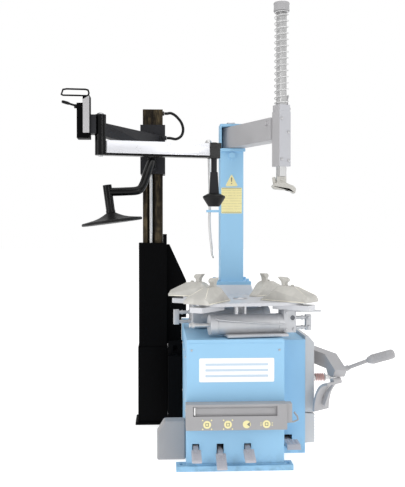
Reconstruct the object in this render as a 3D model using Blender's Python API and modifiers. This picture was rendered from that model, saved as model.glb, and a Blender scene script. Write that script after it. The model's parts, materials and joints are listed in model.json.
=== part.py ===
"""Swing-arm tyre changer with a pneumatic helper arm, as separate solids with real joints.

Metres, +Z up, +Y to the rear. The origin is on the floor under the turntable's axis.
"""
import math

import bmesh
import bpy
from mathutils import Matrix, Vector

GAP = 0.0003                      # clearance between pieces that touch

# Cabinet
BASE_HEIGHT = 0.028
CABINET_LEFT, CABINET_RIGHT = -0.262, 0.168
CABINET_FRONT, CABINET_REAR = -0.27, 0.58
CABINET_TOP = 0.572
WING_RIGHT, WING_FRONT, WING_TOP = 0.305, -0.03, 0.536
SHEET = 0.003                     # steel sheet of the cabinet

# Turntable
PLATE_TOP, PLATE_THICK, PLATE_HALF = 0.728, 0.014, 0.238
TABLE_TURN = math.radians(8.3)    # how far the table stands turned at rest
JAW_RADIUS = 0.235                # hook to table axis at rest
GUIDE_LOW = 0.692                 # underside of the four jaw guides

# Column and swing arm
COLUMN_Y, COLUMN_SIDE = 0.50, 0.122
COLUMN_FOOT, COLUMN_TOP = 0.780, 1.612
ARM_LOW, ARM_HIGH = 1.485, 1.595
SHAFT_X, SHAFT_Y = 0.205, 0.069
SHAFT_SIDE, HOUSING_SIDE = 0.038, 0.065
HOUSING_LOW, HOUSING_HIGH = 1.357, 1.620
SHAFT_LOW, SHAFT_HIGH = 1.309, 2.10
SPRING_LOW, SPRING_TURNS = 1.656, 16

# Bead breaker
BREAKER_PIVOT = Vector((0.345, 0.45, 0.0))
BREAKER_END = Vector((0.458, -0.085, 0.0))
BLADE_YAW = math.radians(50)

# Helper arm
POST_X, POST_Y, POST_SIDE = -0.418, 0.63, 0.108
POST_TOP = 1.706
CARRIAGE_LOW, CARRIAGE_HIGH = 1.355, 1.620
HINGE = Vector((-0.656, 0.014, 0.0))
PRESS = Vector((-0.115, 0.136, 0.0))

COLOURS = {                       # base colour, roughness, metallic
    "blue_paint": ((0.31, 0.57, 0.80), 0.45, 0.0),
    "grey_plastic": ((0.36, 0.36, 0.39), 0.55, 0.0),
    "rubber": ((0.33, 0.33, 0.34), 0.80, 0.0),
    "bright_steel": ((0.62, 0.62, 0.63), 0.35, 0.9),
    "cast_jaw": ((0.48, 0.48, 0.45), 0.50, 0.6),
    "grey_paint": ((0.36, 0.36, 0.37), 0.50, 0.0),
    "alloy": ((0.58, 0.58, 0.59), 0.35, 0.8),
    "black_paint": ((0.012, 0.012, 0.013), 0.40, 0.0),
    "oily_steel": ((0.06, 0.045, 0.028), 0.45, 0.7),
    "silver_beam": ((0.80, 0.80, 0.82), 0.30, 0.8),
    "black_rubber": ((0.02, 0.02, 0.02), 0.70, 0.0),
    "red_spring": ((0.55, 0.22, 0.18), 0.50, 0.3),
    "cast_iron": ((0.16, 0.17, 0.18), 0.60, 0.4),
}


# ---------------------------------------------------------------- making tools
def clear_scene():
    for item in list(bpy.data.objects):
        bpy.data.objects.remove(item, do_unlink=True)


def make_collection(name):
    collection = bpy.data.collections.new(name)
    bpy.context.scene.collection.children.link(collection)
    return collection


def make_material(name):
    colour, roughness, metallic = COLOURS[name]
    material = bpy.data.materials.new(name)
    material.use_nodes = True
    shader = material.node_tree.nodes["Principled BSDF"]
    shader.inputs["Base Color"].default_value = (*colour, 1.0)
    shader.inputs["Roughness"].default_value = roughness
    shader.inputs["Metallic"].default_value = metallic
    material.diffuse_color = (*colour, 1.0)
    return material


def link(mesh, name="tool"):
    """A new object of the mesh among the cutters, until finish() names it as a part."""
    item = bpy.data.objects.new(name, mesh)
    CUTTERS.objects.link(item)
    item.hide_render = True
    item.display_type = "WIRE"
    return item


def from_bmesh(shape, name="tool"):
    bmesh.ops.recalc_face_normals(shape, faces=shape.faces)
    mesh = bpy.data.meshes.new(name)
    shape.to_mesh(mesh)
    shape.free()
    return link(mesh, name)


def block(low, high, taper=None):
    """A box between two corners. taper gives the top face its own (x0, x1, y0, y1)."""
    shape = bmesh.new()
    bmesh.ops.create_cube(shape, size=1.0)
    for vertex in shape.verts:
        side = [0 if value < 0 else 1 for value in vertex.co]
        x_range, y_range = (low[0], high[0]), (low[1], high[1])
        if taper and side[2]:
            x_range, y_range = taper[:2], taper[2:]
        vertex.co = (x_range[side[0]], y_range[side[1]], (low[2], high[2])[side[2]])
    return from_bmesh(shape)


def rod(start, end, radius, end_radius=None, sides=18):
    """A cylinder or cone from one point to another."""
    start, end = Vector(start), Vector(end)
    shape = bmesh.new()
    bmesh.ops.create_cone(shape, cap_ends=True, segments=sides, radius1=radius,
                          radius2=radius if end_radius is None else end_radius,
                          depth=(end - start).length)
    turn = (end - start).to_track_quat("Z", "Y").to_matrix().to_4x4()
    bmesh.ops.transform(shape, matrix=Matrix.Translation((start + end) / 2) @ turn, verts=shape.verts)
    item = from_bmesh(shape)
    item.data.shade_smooth()
    item.data.set_sharp_from_angle(angle=math.radians(35))
    return item


def as_mesh(item):
    """Turn a curve object into a mesh object with welded caps, in the same place."""
    bpy.context.view_layer.update()
    graph = bpy.context.evaluated_depsgraph_get()
    mesh = bpy.data.meshes.new_from_object(item.evaluated_get(graph))
    shape = bmesh.new()
    shape.from_mesh(mesh)
    bmesh.ops.remove_doubles(shape, verts=shape.verts, dist=0.00002)
    bmesh.ops.recalc_face_normals(shape, faces=shape.faces)
    shape.to_mesh(mesh)
    shape.free()
    result = link(mesh)
    result.matrix_world = item.matrix_world
    bpy.data.objects.remove(item, do_unlink=True)
    return result


def plate(outline, thickness, origin=(0, 0, 0), across="Z", turn=0.0):
    """A flat outline with a thickness. across is the axis through it: outlines across Z are
    (x, y), across Y (x, z) and across X (y, z); turn is a yaw about Z through the origin."""
    curve = bpy.data.curves.new("outline", "CURVE")
    curve.dimensions = "2D"
    curve.fill_mode = "BOTH"
    curve.extrude = thickness / 2
    line = curve.splines.new("POLY")
    line.points.add(len(outline) - 1)
    for point, place in zip(line.points, outline):
        point.co = (*place, 0.0, 1.0)
    line.use_cyclic_u = True
    item = bpy.data.objects.new("outline", curve)
    CUTTERS.objects.link(item)
    stand = {"Z": ((1, 0, 0), (0, 1, 0), (0, 0, 1)),
             "Y": ((1, 0, 0), (0, 0, -1), (0, 1, 0)),
             "X": ((0, 0, 1), (1, 0, 0), (0, 1, 0))}[across]
    item.matrix_world = Matrix.Translation(origin) @ Matrix.Rotation(turn, 4, "Z") @ Matrix(stand).to_4x4()
    return as_mesh(item)


def tube(points, radius, resolution=2):
    """A round bar or hose through the points."""
    curve = bpy.data.curves.new("tube", "CURVE")
    curve.dimensions = "3D"
    curve.bevel_depth = radius
    curve.bevel_resolution = resolution
    curve.use_fill_caps = True
    line = curve.splines.new("POLY")
    line.points.add(len(points) - 1)
    for point, place in zip(line.points, points):
        point.co = (*place, 1.0)
    item = bpy.data.objects.new("tube", curve)
    CUTTERS.objects.link(item)
    return as_mesh(item)


def turned(profile, place, steps=24, matrix=None):
    """A profile of (radius, height) points, top to bottom, turned about a vertical axis."""
    mesh = bpy.data.meshes.new("profile")
    mesh.from_pydata([(r, 0, z) for r, z in profile], [(i, i + 1) for i in range(len(profile) - 1)], [])
    item = link(mesh)
    item.matrix_world = matrix or Matrix.Translation(place)
    screw = item.modifiers.new("turn", "SCREW")
    screw.steps = screw.render_steps = steps
    screw.use_merge_vertices = True
    screw.merge_threshold = 0.00001
    return item


def smooth_path(points, count):
    """Points on a Catmull-Rom curve through the given ones."""
    ends = [Vector(place) for place in (points[0], *points, points[-1])]
    result = []
    for index in range(count):
        where = index / (count - 1) * (len(points) - 1)
        part = min(int(where), len(points) - 2)
        t = where - part
        a, b, c, d = ends[part:part + 4]
        result.append(0.5 * (2 * b + (c - a) * t + (2 * a - 5 * b + 4 * c - d) * t * t
                             + (3 * b - a - 3 * c + d) * t ** 3))
    return result


def arc(centre, radius, start, stop, count):
    """Points on a circle in a flat outline; angles in degrees."""
    steps = [math.radians(start + (stop - start) * i / (count - 1)) for i in range(count)]
    return [(centre[0] + radius * math.cos(a), centre[1] + radius * math.sin(a)) for a in steps]


def combine(base, others, operation):
    for other in others:
        boolean = base.modifiers.new(operation.lower(), "BOOLEAN")
        boolean.operation = operation
        boolean.object = other
    return base


def join(base, *others):
    return combine(base, others, "UNION")


def cut(base, *others):
    return combine(base, others, "DIFFERENCE")


def keep(base, *others):
    return combine(base, others, "INTERSECT")


def finish(item, name, material, axis=None):
    """Name the piece as a part, colour it and hang it from its joint's empty."""
    CUTTERS.objects.unlink(item)
    PARTS.objects.link(item)
    item.name = name
    item.data.name = name
    item.hide_render = False
    item.display_type = "TEXTURED"
    item.data.materials.clear()
    item.data.materials.append(MATERIALS[material])
    if axis:
        bpy.context.view_layer.update()
        item.parent = axis
        item.matrix_parent_inverse = axis.matrix_world.inverted()
    return item


def joint_axis(name, place):
    empty = bpy.data.objects.new(name, None)
    empty.empty_display_size = 0.05
    empty.location = place
    PARTS.objects.link(empty)
    bpy.context.view_layer.update()
    return empty


def about_table(x, y, z, extra=0.0):
    """A point of the table's own frame, turned as the table stands at rest."""
    return Matrix.Rotation(TABLE_TURN + extra, 4, "Z") @ Vector((x, y, z))


# ---------------------------------------------------------------- cabinet
def make_base_plate():
    body = join(block((CABINET_LEFT, CABINET_FRONT, 0), (CABINET_RIGHT, CABINET_REAR, BASE_HEIGHT)),
                block((0.10, WING_FRONT, 0), (WING_RIGHT, CABINET_REAR, BASE_HEIGHT)))
    pockets = [block((-0.250, 0.050, 0.006), (0.080, 0.480, 0.10)),
               block((0.100, 0.010, 0.006), (0.290, 0.480, 0.10))]
    front_foot = block((-0.308, -0.294, 0), (0.206, -0.22, BASE_HEIGHT - 0.004))
    rear_foot = block((-0.300, 0.50, 0), (0.345, 0.572, BASE_HEIGHT - 0.004))
    slots = []
    for x, y in ((-0.286, -0.257), (0.187, -0.257), (-0.282, 0.536), (0.326, 0.536)):
        slots.append(block((x - 0.006, y - 0.014, -0.01), (x + 0.006, y + 0.014, 0.05)))
    finish(cut(join(body, front_foot, rear_foot), *slots, *pockets), "base_plate", "blue_paint")


def make_cabinet():
    """A sheet shell, open underneath, with its wing on the breaker side."""
    low = BASE_HEIGHT + GAP
    shell = join(block((CABINET_LEFT, CABINET_FRONT, low), (CABINET_RIGHT, CABINET_REAR, CABINET_TOP)),
                 block((0.10, WING_FRONT, low), (WING_RIGHT, CABINET_REAR, WING_TOP)))
    rooms = [block((CABINET_LEFT + SHEET, CABINET_FRONT + SHEET, -0.01),
                   (CABINET_RIGHT - SHEET, CABINET_REAR - SHEET, CABINET_TOP - SHEET)),
             block((0.11, WING_FRONT + SHEET, -0.01),
                   (WING_RIGHT - SHEET, CABINET_REAR - SHEET, WING_TOP - SHEET))]
    holes = [rod((0, 0, 0.5), (0, 0, 0.7), 0.086, sides=32),
             rod((0.28, 0.20, 0.315), (0.36, 0.20, 0.315), 0.0165)]
    for x, *_ in PEDALS:
        holes.append(block((x - 0.015, CABINET_FRONT - 0.02, 0.055),
                           (x + 0.015, CABINET_FRONT + 0.02, 0.115)))
    holes.append(block((0.196, WING_FRONT - 0.02, 0.034), (0.242, WING_FRONT + 0.02, 0.088)))
    for row in range(5):
        z = 0.20 + 0.035 * row
        holes.append(block((-0.10, CABINET_REAR - 0.02, z), (0.10, CABINET_REAR + 0.02, z + 0.012)))
    finish(cut(shell, *rooms, *holes), "cabinet_body", "blue_paint")


def make_pedestal():
    body = block((-0.225, 0.416, CABINET_TOP + GAP), (0.165, 0.578, 0.764), taper=(-0.10, 0.10, 0.416, 0.600))
    room = block((-0.219, 0.422, 0.50), (0.159, 0.572, 0.758), taper=(-0.09, 0.09, 0.424, 0.592))
    finish(cut(body, room), "rear_pedestal", "blue_paint")


def make_console():
    front, back = -0.334, CABINET_FRONT - GAP
    body = block((-0.267, front, 0.190), (0.171, back, 0.301))
    tray = block((-0.236, front - 0.01, 0.250), (0.128, back - 0.012, 0.292))
    plug = block((0.166, front + 0.004, 0.222), (0.193, back - 0.014, 0.302))
    hook = tube([(0.166, -0.30, 0.214), (0.205, -0.30, 0.216), (0.224, -0.30, 0.224), (0.220, -0.30, 0.240),
                 (0.206, -0.30, 0.258)], 0.004)
    finish(join(cut(body, tray), plug, hook), "control_console", "grey_plastic")


def make_side_parts():
    """Rubber pads that the wheel leans on, and the air service box on the other side."""
    left = WING_RIGHT + GAP
    upper = [(left, 0.190), (0.350, 0.190), (0.350, 0.520), (0.322, 0.552), (left, 0.552)]
    finish(cut(plate(upper, 0.30, (0, 0.13, 0), "Y"), rod((0.29, 0.20, 0.315), (0.37, 0.20, 0.315), 0.0165)),
           "upper_side_pad", "rubber")
    teeth = [(left, 0.045)]
    for row in range(10):
        z = 0.045 + row * 0.0141
        teeth += [(0.350, z + 0.002), (0.354, z + 0.007), (0.350, z + 0.012)]
    teeth.append((left, 0.187))
    finish(plate(teeth, 0.30, (0, 0.13, 0), "Y"), "lower_side_pad", "rubber")
    box = [(-0.392, 0.004), (CABINET_LEFT - GAP, 0.004), (CABINET_LEFT - GAP, 0.181), (-0.359, 0.181),
           (-0.392, 0.129)]
    finish(plate(box, 0.08, (0, -0.085, 0), "Y"), "service_box", "grey_plastic")


# ---------------------------------------------------------------- drive
def make_drive():
    neck = rod((0, 0, 0.55), (0, 0, 0.590), 0.080, sides=32)
    worm_nose = rod((-0.145, -0.07, 0.48), (-0.09, -0.07, 0.48), 0.028)
    casing = join(block((-0.10, -0.10, 0.43), (0.10, 0.10, 0.565)), neck, worm_nose)
    bore = rod((0, 0, 0.40), (0, 0, 0.62), 0.0306, sides=32)
    finish(cut(casing, bore), "gearbox", "cast_iron")
    motor = rod((-0.145, -0.04, 0.22), (0.06, -0.04, 0.22), 0.068)
    foot = block((-0.10, -0.09, BASE_HEIGHT + GAP), (0.03, 0.02, 0.19))
    finish(join(motor, foot), "drive_motor", "cast_iron")
    for name, place, radius in (("gearbox_pulley", (-0.1455, -0.07, 0.48), 0.064),
                                ("motor_pulley", (-0.1455, -0.04, 0.22), 0.032)):
        start = Vector(place)
        axis = joint_axis(name + "_axis", place)
        finish(rod(start, start - Vector((0.026, 0, 0)), radius), name, "cast_iron", axis)
    make_belt()


def make_belt():
    """A flat ring round both pulleys, clear of them."""
    big, small = Vector((-0.07, 0.48)), Vector((-0.04, 0.22))
    lean = math.degrees(math.asin((0.064 - 0.032) / (big - small).length))
    along = math.degrees(math.atan2(big.y - small.y, big.x - small.x))

    def ring(extra):
        top = arc(big, 0.064 + extra, along - 90 - lean, along + 90 + lean, 13)
        bottom = arc(small, 0.032 + extra, along + 90 + lean, along + 270 - lean, 9)
        return top + bottom

    middle = -0.1585
    belt = plate(ring(0.006), 0.020, (middle, 0, 0), "X")
    finish(cut(belt, plate(ring(0.0008), 0.04, (middle, 0, 0), "X")), "drive_belt", "black_rubber")


# ---------------------------------------------------------------- turntable
def make_turntable():
    axis = joint_axis("turntable_axis", (0, 0, PLATE_TOP))
    top = PLATE_TOP + 0.006
    spindle = turned([(0, top), (0.030, top), (0.034, top - 0.004), (0.034, PLATE_TOP + GAP),
                      (0.030, PLATE_TOP + GAP), (0.030, 0.40), (0, 0.40)], (0, 0, 0))
    finish(spindle, "turntable_spindle", "bright_steel", axis)
    half, clip = PLATE_HALF, 0.022
    outline = []
    for quarter in range(4):
        for x, y in ((half, -half + clip), (half, half - clip)):
            outline.append(about_table(x, y, 0, quarter * math.pi / 2)[:2])
    top = plate(outline, PLATE_THICK, (0, 0, PLATE_TOP - PLATE_THICK / 2))
    guides, slots = [], []
    guide_top = PLATE_TOP - PLATE_THICK + 0.002
    for number in range(4):
        turn = TABLE_TURN + math.pi / 4 + number * math.pi / 2
        guides.append(placed_block((0.19, -0.032, GUIDE_LOW), (0.374, 0.032, guide_top), turn))
        slots.append(placed_block((0.11, -0.0105, 0.60), (0.3115, 0.0105, 0.80), turn))
    slots.append(rod((0, 0, 0.6), (0, 0, 0.8), 0.0303, sides=32))
    finish(cut(join(top, *guides), *slots), "turntable_plate", "alloy", axis)
    for number, name in enumerate(("jaw_rear_right", "jaw_rear_left", "jaw_front_left", "jaw_front_right")):
        make_jaw(name, TABLE_TURN + math.pi / 4 + number * math.pi / 2, axis)
    peg = rod((0.205, -0.137, 0.6825), (0.357, -0.137, 0.6825), 0.004)
    make_clamp_cylinder("front", 0.0, axis, peg)
    make_clamp_cylinder("rear", math.pi, axis)


def placed_block(low, high, turn):
    item = block(low, high)
    item.data.transform(Matrix.Rotation(turn, 4, "Z"))
    return item


def make_jaw(name, turn, axis):
    """A wedge that slides along a diagonal of the plate, with a hook whose beak points inwards."""
    floor = PLATE_TOP + GAP
    r = JAW_RADIUS
    side = [(0.120, floor), (0.372, floor), (0.372, 0.752), (r + 0.060, 0.796), (r - 0.014, 0.800),
            (0.120, 0.736)]
    wedge = plate(side, 0.16, (0, 0, 0), "Y", turn)
    plan = [(0.10, -0.016), (0.38, -0.068), (0.38, 0.068), (0.10, 0.016)]
    lean = block((0.05, -0.078, floor - 0.002), (0.45, 0.078, 0.802), taper=(0.05, 0.45, -0.014, 0.014))
    lean.data.transform(Matrix.Rotation(turn, 4, "Z"))
    keep(wedge, plate(plan, 0.20, (0, 0, 0.75), "Z", turn), lean)
    hook = [(r - 0.012, 0.785), (r + 0.020, 0.785), (r + 0.010, 0.804), (r + 0.012, 0.814),
            (r + 0.022, 0.820), (r + 0.022, 0.828), (r + 0.012, 0.836), (r - 0.028, 0.839),
            (r - 0.012, 0.818), (r - 0.010, 0.806)]
    keel = placed_block((0.200, -0.0090, 0.7000), (0.285, 0.0090, 0.740), turn)
    finish(join(wedge, plate(hook, 0.026, (0, 0, 0), "Y", turn), keel), name, "cast_jaw", axis)


def make_clamp_cylinder(name, half_turn, axis, *extras):
    """An air cylinder under the plate, its end bracket and fittings, and the rod that drives two jaws."""
    def at(x, y, z):
        return about_table(x, y, z, half_turn)

    turn = TABLE_TURN + half_turn
    y, z = -0.165, 0.627
    barrel = rod(at(-0.185, y, z), at(0.165, y, z), 0.047, sides=24)
    bracket = placed_block((0.150, y - 0.046, 0.590), (0.208, y + 0.046, GUIDE_LOW - GAP), turn)
    sheet = placed_block((-0.115, y - 0.074, 0.5765), (0.165, y + 0.030, 0.5880), turn)
    fittings = [rod(at(0.200, y, height), at(0.285, y, height), 0.009) for height in (0.607, 0.652)]
    valve = placed_block((0.266, y - 0.012, 0.594), (0.292, y + 0.012, 0.666), turn)
    bore = rod(at(-0.20, y, z), at(0.10, y, z), 0.0104)
    window = rod(at(0.190, y - 0.060, 0.657), at(0.190, y - 0.030, 0.657), 0.011)
    cylinder = join(barrel, bracket, sheet, valve, *fittings, *extras)
    finish(cut(cylinder, bore, window), "clamp_cylinder_" + name, "alloy", axis)
    rod_axis = joint_axis("clamp_rod_%s_axis" % name, at(-0.170, y, z))
    rod_axis.parent = axis
    rod_axis.matrix_parent_inverse = axis.matrix_world.inverted()
    finish(rod(at(-0.275, y, z), at(-0.030, y, z), 0.0100), "clamp_rod_" + name, "bright_steel", rod_axis)


# ---------------------------------------------------------------- pedals
PEDALS = (                        # x, half width, height where the pad starts, at its tip, name
    (-0.222, 0.021, 0.098, 0.077, "pedal_left"),
    (-0.115, 0.022, 0.082, 0.046, "pedal_centre"),
    (0.006, 0.023, 0.098, 0.076, "pedal_right"),
)
PEDAL_PIVOT = (-0.15, 0.100)


def make_pedals():
    """Narrow arms through the front sheet with broad sloping pads, and the long one at the side."""
    y, z = PEDAL_PIVOT
    for x, half, heel, tip, name in PEDALS:
        axis = joint_axis(name + "_axis", (x, y, z))
        low = heel - 0.012
        arm = arc((y, z), 0.014, -80, 80, 7) + [
            (-0.262, heel + 0.010), (-0.320, heel + 0.002), (-0.330, low), (-0.262, low)]
        pad = [(-0.308, heel + 0.004), (-0.308, low), (-0.385, tip - 0.012), (-0.398, tip - 0.009),
               (-0.402, tip - 0.001), (-0.396, tip + 0.003)]
        pin = rod((x - 0.030, y, z), (x + 0.030, y, z), 0.008)
        finish(join(plate(arm, 0.022, (x, 0, 0), "X"), plate(pad, 2 * half, (x, 0, 0), "X"), pin),
               name, "grey_plastic", axis)
    axis = joint_axis("side_pedal_axis", (0.219, 0.06, 0.060))
    side = arc((0.06, 0.060), 0.014, -80, 80, 7) + [
        (-0.02, 0.068), (-0.10, 0.070), (-0.140, 0.086), (-0.225, 0.084), (-0.225, 0.078),
        (-0.135, 0.076), (-0.10, 0.056), (-0.02, 0.053)]
    pin = rod((0.186, 0.06, 0.060), (0.252, 0.06, 0.060), 0.008)
    pad = block((0.188, -0.236, 0.073), (0.250, -0.135, 0.094), taper=(0.188, 0.250, -0.222, -0.135))
    finish(join(plate(side, 0.036, (0.219, 0, 0), "X"), pin, pad), "side_pedal", "grey_plastic", axis)


# ---------------------------------------------------------------- bead breaker
def make_breaker():
    cylinder = join(rod((-0.20, 0.20, 0.315), (0.110, 0.20, 0.315), 0.088, sides=32),
                    rod((0.100, 0.20, 0.315), (0.150, 0.20, 0.315), 0.030))
    rod_bore = rod((-0.17, 0.20, 0.315), (0.20, 0.20, 0.315), 0.0124)
    finish(cut(cylinder, rod_bore), "breaker_cylinder", "grey_paint")
    rod_axis = joint_axis("breaker_rod_axis", (0.305, 0.20, 0.315))
    shank = rod((-0.15, 0.20, 0.315), (0.490, 0.20, 0.315), 0.0120)
    sizes = ((0.374, 0.019, 0.021), (0.4445, 0.004, 0.021), (0.472, 0.021, 0.0165))
    collars = [rod((x, 0.20, 0.315), (x + width, 0.20, 0.315), radius) for x, width, radius in sizes]
    pin = rod((0.3835, 0.20, 0.320), (0.3835, 0.20, 0.3915), 0.009)
    finish(join(shank, pin, *collars), "breaker_rod", "bright_steel", rod_axis)
    turns, rings = 5, 9
    coil = []
    for step in range(turns * rings + 1):
        angle = 2 * math.pi * step / rings
        coil.append((0.3965 + 0.044 * step / (turns * rings), 0.20 + 0.0165 * math.cos(angle),
                     0.315 + 0.0165 * math.sin(angle)))
    finish(tube(coil, 0.0028), "breaker_spring", "red_spring", rod_axis)
    axis = joint_axis("breaker_arm_axis", BREAKER_PIVOT + Vector((0, 0, 0.42)))
    make_breaker_arm(axis)
    make_blade(axis)


def make_breaker_arm(axis):
    along = (BREAKER_END - BREAKER_PIVOT).normalized()
    turn = math.atan2(along.y, along.x)
    reach = (BREAKER_END - BREAKER_PIVOT).length
    side = [(-0.010, 0.394), (reach - 0.090, 0.394), (reach - 0.070, 0.366), (reach - 0.014, 0.366),
            (reach + 0.010, 0.402), (reach - 0.107, 0.460), (-0.010, 0.460)]
    arm = plate(side, 0.060, BREAKER_PIVOT, "Y", turn)
    barrel = rod(BREAKER_PIVOT + Vector((0, 0, 0.370)), BREAKER_PIVOT + Vector((0, 0, 0.484)), 0.034)
    bore = rod(BREAKER_PIVOT + Vector((0, 0, 0.30)), BREAKER_PIVOT + Vector((0, 0, 0.60)), 0.0123)
    lug_end, grip_start = Vector((0.502, -0.070, 0.409)), Vector((0.590, -0.100, 0.4485))
    away = (grip_start - lug_end).normalized()
    lug = rod(lug_end - away * 0.060, lug_end, 0.013)
    finish(cut(join(arm, barrel, lug), bore), "breaker_arm", "grey_paint", axis)
    hinge_plates = [block((WING_RIGHT + GAP, 0.405, z), (0.372, 0.495, z + 0.010)) for z in (0.3575, 0.4865)]
    back = block((WING_RIGHT + GAP, 0.405, 0.3575), (0.3085, 0.495, 0.4965))
    pin = rod(BREAKER_PIVOT + Vector((0, 0, 0.350)), BREAKER_PIVOT + Vector((0, 0, 0.505)), 0.0120)
    finish(join(back, *hinge_plates, pin), "breaker_bracket", "blue_paint")
    grip = [rod(lug_end + away * GAP, grip_start + away * 0.004, 0.0085),
            rod((0.584, -0.098, 0.4460), (0.606, -0.106, 0.4560), 0.014, 0.022),
            rod((0.606, -0.106, 0.4560), (0.694, -0.150, 0.4870), 0.022, 0.020)]
    finish(join(*grip), "breaker_grip", "grey_plastic", axis)


def make_blade(axis):
    """A curved shovel hung under the end of the arm, turned to face the wheel."""
    front = [(0.0, 0.205), (0.002, 0.232), (0.007, 0.259), (0.0165, 0.291), (0.030, 0.317), (0.047, 0.335),
             (0.066, 0.345), (0.088, 0.349)]
    back = [(0.088, 0.337), (0.069, 0.334), (0.054, 0.325), (0.040, 0.309), (0.027, 0.286), (0.018, 0.257),
            (0.0135, 0.231), (0.0115, 0.205)]
    middle = Vector((0.374, -0.032, 0))
    turn = -BLADE_YAW
    shovel = plate(front + back, 0.11, middle, "Y", turn)
    to_world = Matrix.Translation(middle) @ Matrix.Rotation(turn, 4, "Z")
    pivot = to_world @ Vector((0.078, 0.020, 0.352))
    half_pin = to_world.to_3x3() @ Vector((0, 0.028, 0))
    knuckle = rod(pivot - half_pin, pivot + half_pin, 0.0125)
    rib = plate([(0.012, 0.240), (0.040, 0.300), (0.066, 0.326), (0.080, 0.345), (0.080, 0.326),
                 (0.060, 0.296), (0.030, 0.225)], 0.010, middle, "Y", turn)
    blade_axis = joint_axis("breaker_blade_axis", pivot)
    blade_axis.parent = axis
    blade_axis.matrix_parent_inverse = axis.matrix_world.inverted()
    finish(join(shovel, knuckle, rib), "breaker_blade", "grey_paint", blade_axis)


# ---------------------------------------------------------------- column and mounting head
def make_column(lever_hanger):
    half = COLUMN_SIDE / 2
    post = block((-half, COLUMN_Y - half, COLUMN_FOOT), (half, COLUMN_Y + half, COLUMN_TOP))
    flange = block((-0.10, 0.4165, 0.7643), (0.10, 0.600, 0.7810))
    inner = half - 0.008
    room = block((-inner, COLUMN_Y - inner, 0.70), (inner, COLUMN_Y + inner, 1.470))
    window = block((-half + 0.007, COLUMN_Y - half - 0.02, ARM_LOW - 0.003),
                   (half + 0.02, COLUMN_Y + half - 0.010, ARM_HIGH + 0.003))
    pin_hole = rod((0, COLUMN_Y, 1.46), (0, COLUMN_Y, 1.63), 0.0163)
    corners = [(x, y) for x in (-0.083, 0.083) for y in (0.432, 0.584)]
    bolts = [rod((x, y, 0.775), (x, y, 0.796), 0.0085, sides=6) for x, y in corners]
    nut = rod((0, COLUMN_Y - half + 0.006, 1.445), (0, COLUMN_Y - half - 0.014, 1.445), 0.018, sides=6)
    lip = block((-0.06, COLUMN_Y - half - 0.012, 1.466), (0.07, COLUMN_Y - half + 0.004, 1.482))
    post = join(cut(join(post, flange), room, window, pin_hole), nut, lip, lever_hanger, *bolts)
    finish(post, "column", "blue_paint")
    pin = turned([(0, 1.626), (0.022, 1.626), (0.024, 1.622), (0.024, COLUMN_TOP + GAP),
                  (0.016, COLUMN_TOP + GAP), (0.016, 1.462), (0, 1.462)], (0, COLUMN_Y, 0))
    finish(pin, "swing_pin", "bright_steel")


def make_swing_arm():
    axis = joint_axis("swing_arm_axis", (0, COLUMN_Y, 1.54))
    shaft = Vector((SHAFT_X, SHAFT_Y, 0))
    root = Vector((0, COLUMN_Y, 0))
    along = (shaft - root).normalized()
    reach = (shaft - root).length
    turn = math.atan2(along.y, along.x)
    middle = (ARM_LOW + ARM_HIGH) / 2
    end = reach - HOUSING_SIDE / 2 - GAP
    outline = [(0, ARM_LOW), (end, ARM_LOW), (end, ARM_HIGH), (0, ARM_HIGH)]
    beam = plate(outline, 0.084, root, "Y", turn)
    barrel = rod((0, COLUMN_Y, ARM_LOW), (0, COLUMN_Y, ARM_HIGH), 0.045)
    bore = rod((0, COLUMN_Y, 1.4), (0, COLUMN_Y, 1.7), 0.0163)
    side_pin = root + along * (reach - 0.060)
    across = Vector((-along.y, along.x, 0))
    screw = rod(side_pin + across * -0.055 + Vector((0, 0, middle + 0.028)),
                side_pin + across * 0.035 + Vector((0, 0, middle + 0.028)), 0.010, sides=6)
    finish(cut(join(beam, barrel, screw), bore), "swing_arm", "grey_paint", axis)

    def square(side, low, high):
        half = side / 2
        item = block((-half, -half, low), (half, half, high))
        item.data.transform(Matrix.Translation(shaft) @ Matrix.Rotation(turn, 4, "Z"))
        return item

    hole = square(SHAFT_SIDE + 0.0016, 1.2, 1.8)
    collar = square(0.060, HOUSING_HIGH - 0.002, SPRING_LOW - 0.004)
    housing = join(square(HOUSING_SIDE, HOUSING_LOW, HOUSING_HIGH), collar)
    finish(cut(housing, hole), "slide_housing", "alloy", axis)
    make_lock_lever(axis, shaft, along, across)
    make_shaft(axis, shaft, square)


def make_lock_lever(axis, shaft, along, across):
    """The handle that locks the vertical shaft, on a pin through the collar's side."""
    start = shaft + across * 0.0310 + Vector((0, 0, 1.636))
    knob_end = start + across * 0.016
    lever_axis = joint_axis("lock_lever_axis", start)
    lever_axis.parent = axis
    lever_axis.matrix_parent_inverse = axis.matrix_world.inverted()
    hub = rod(start, knob_end, 0.011)
    middle = start + across * 0.010
    route = [middle - along * back + Vector((0, 0, rise))
             for back, rise in ((0, 0), (0.010, 0.022), (0.012, 0.046), (0.004, 0.066))]
    finish(join(hub, tube(route, 0.0055)), "lock_lever", "grey_paint", lever_axis)


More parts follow.
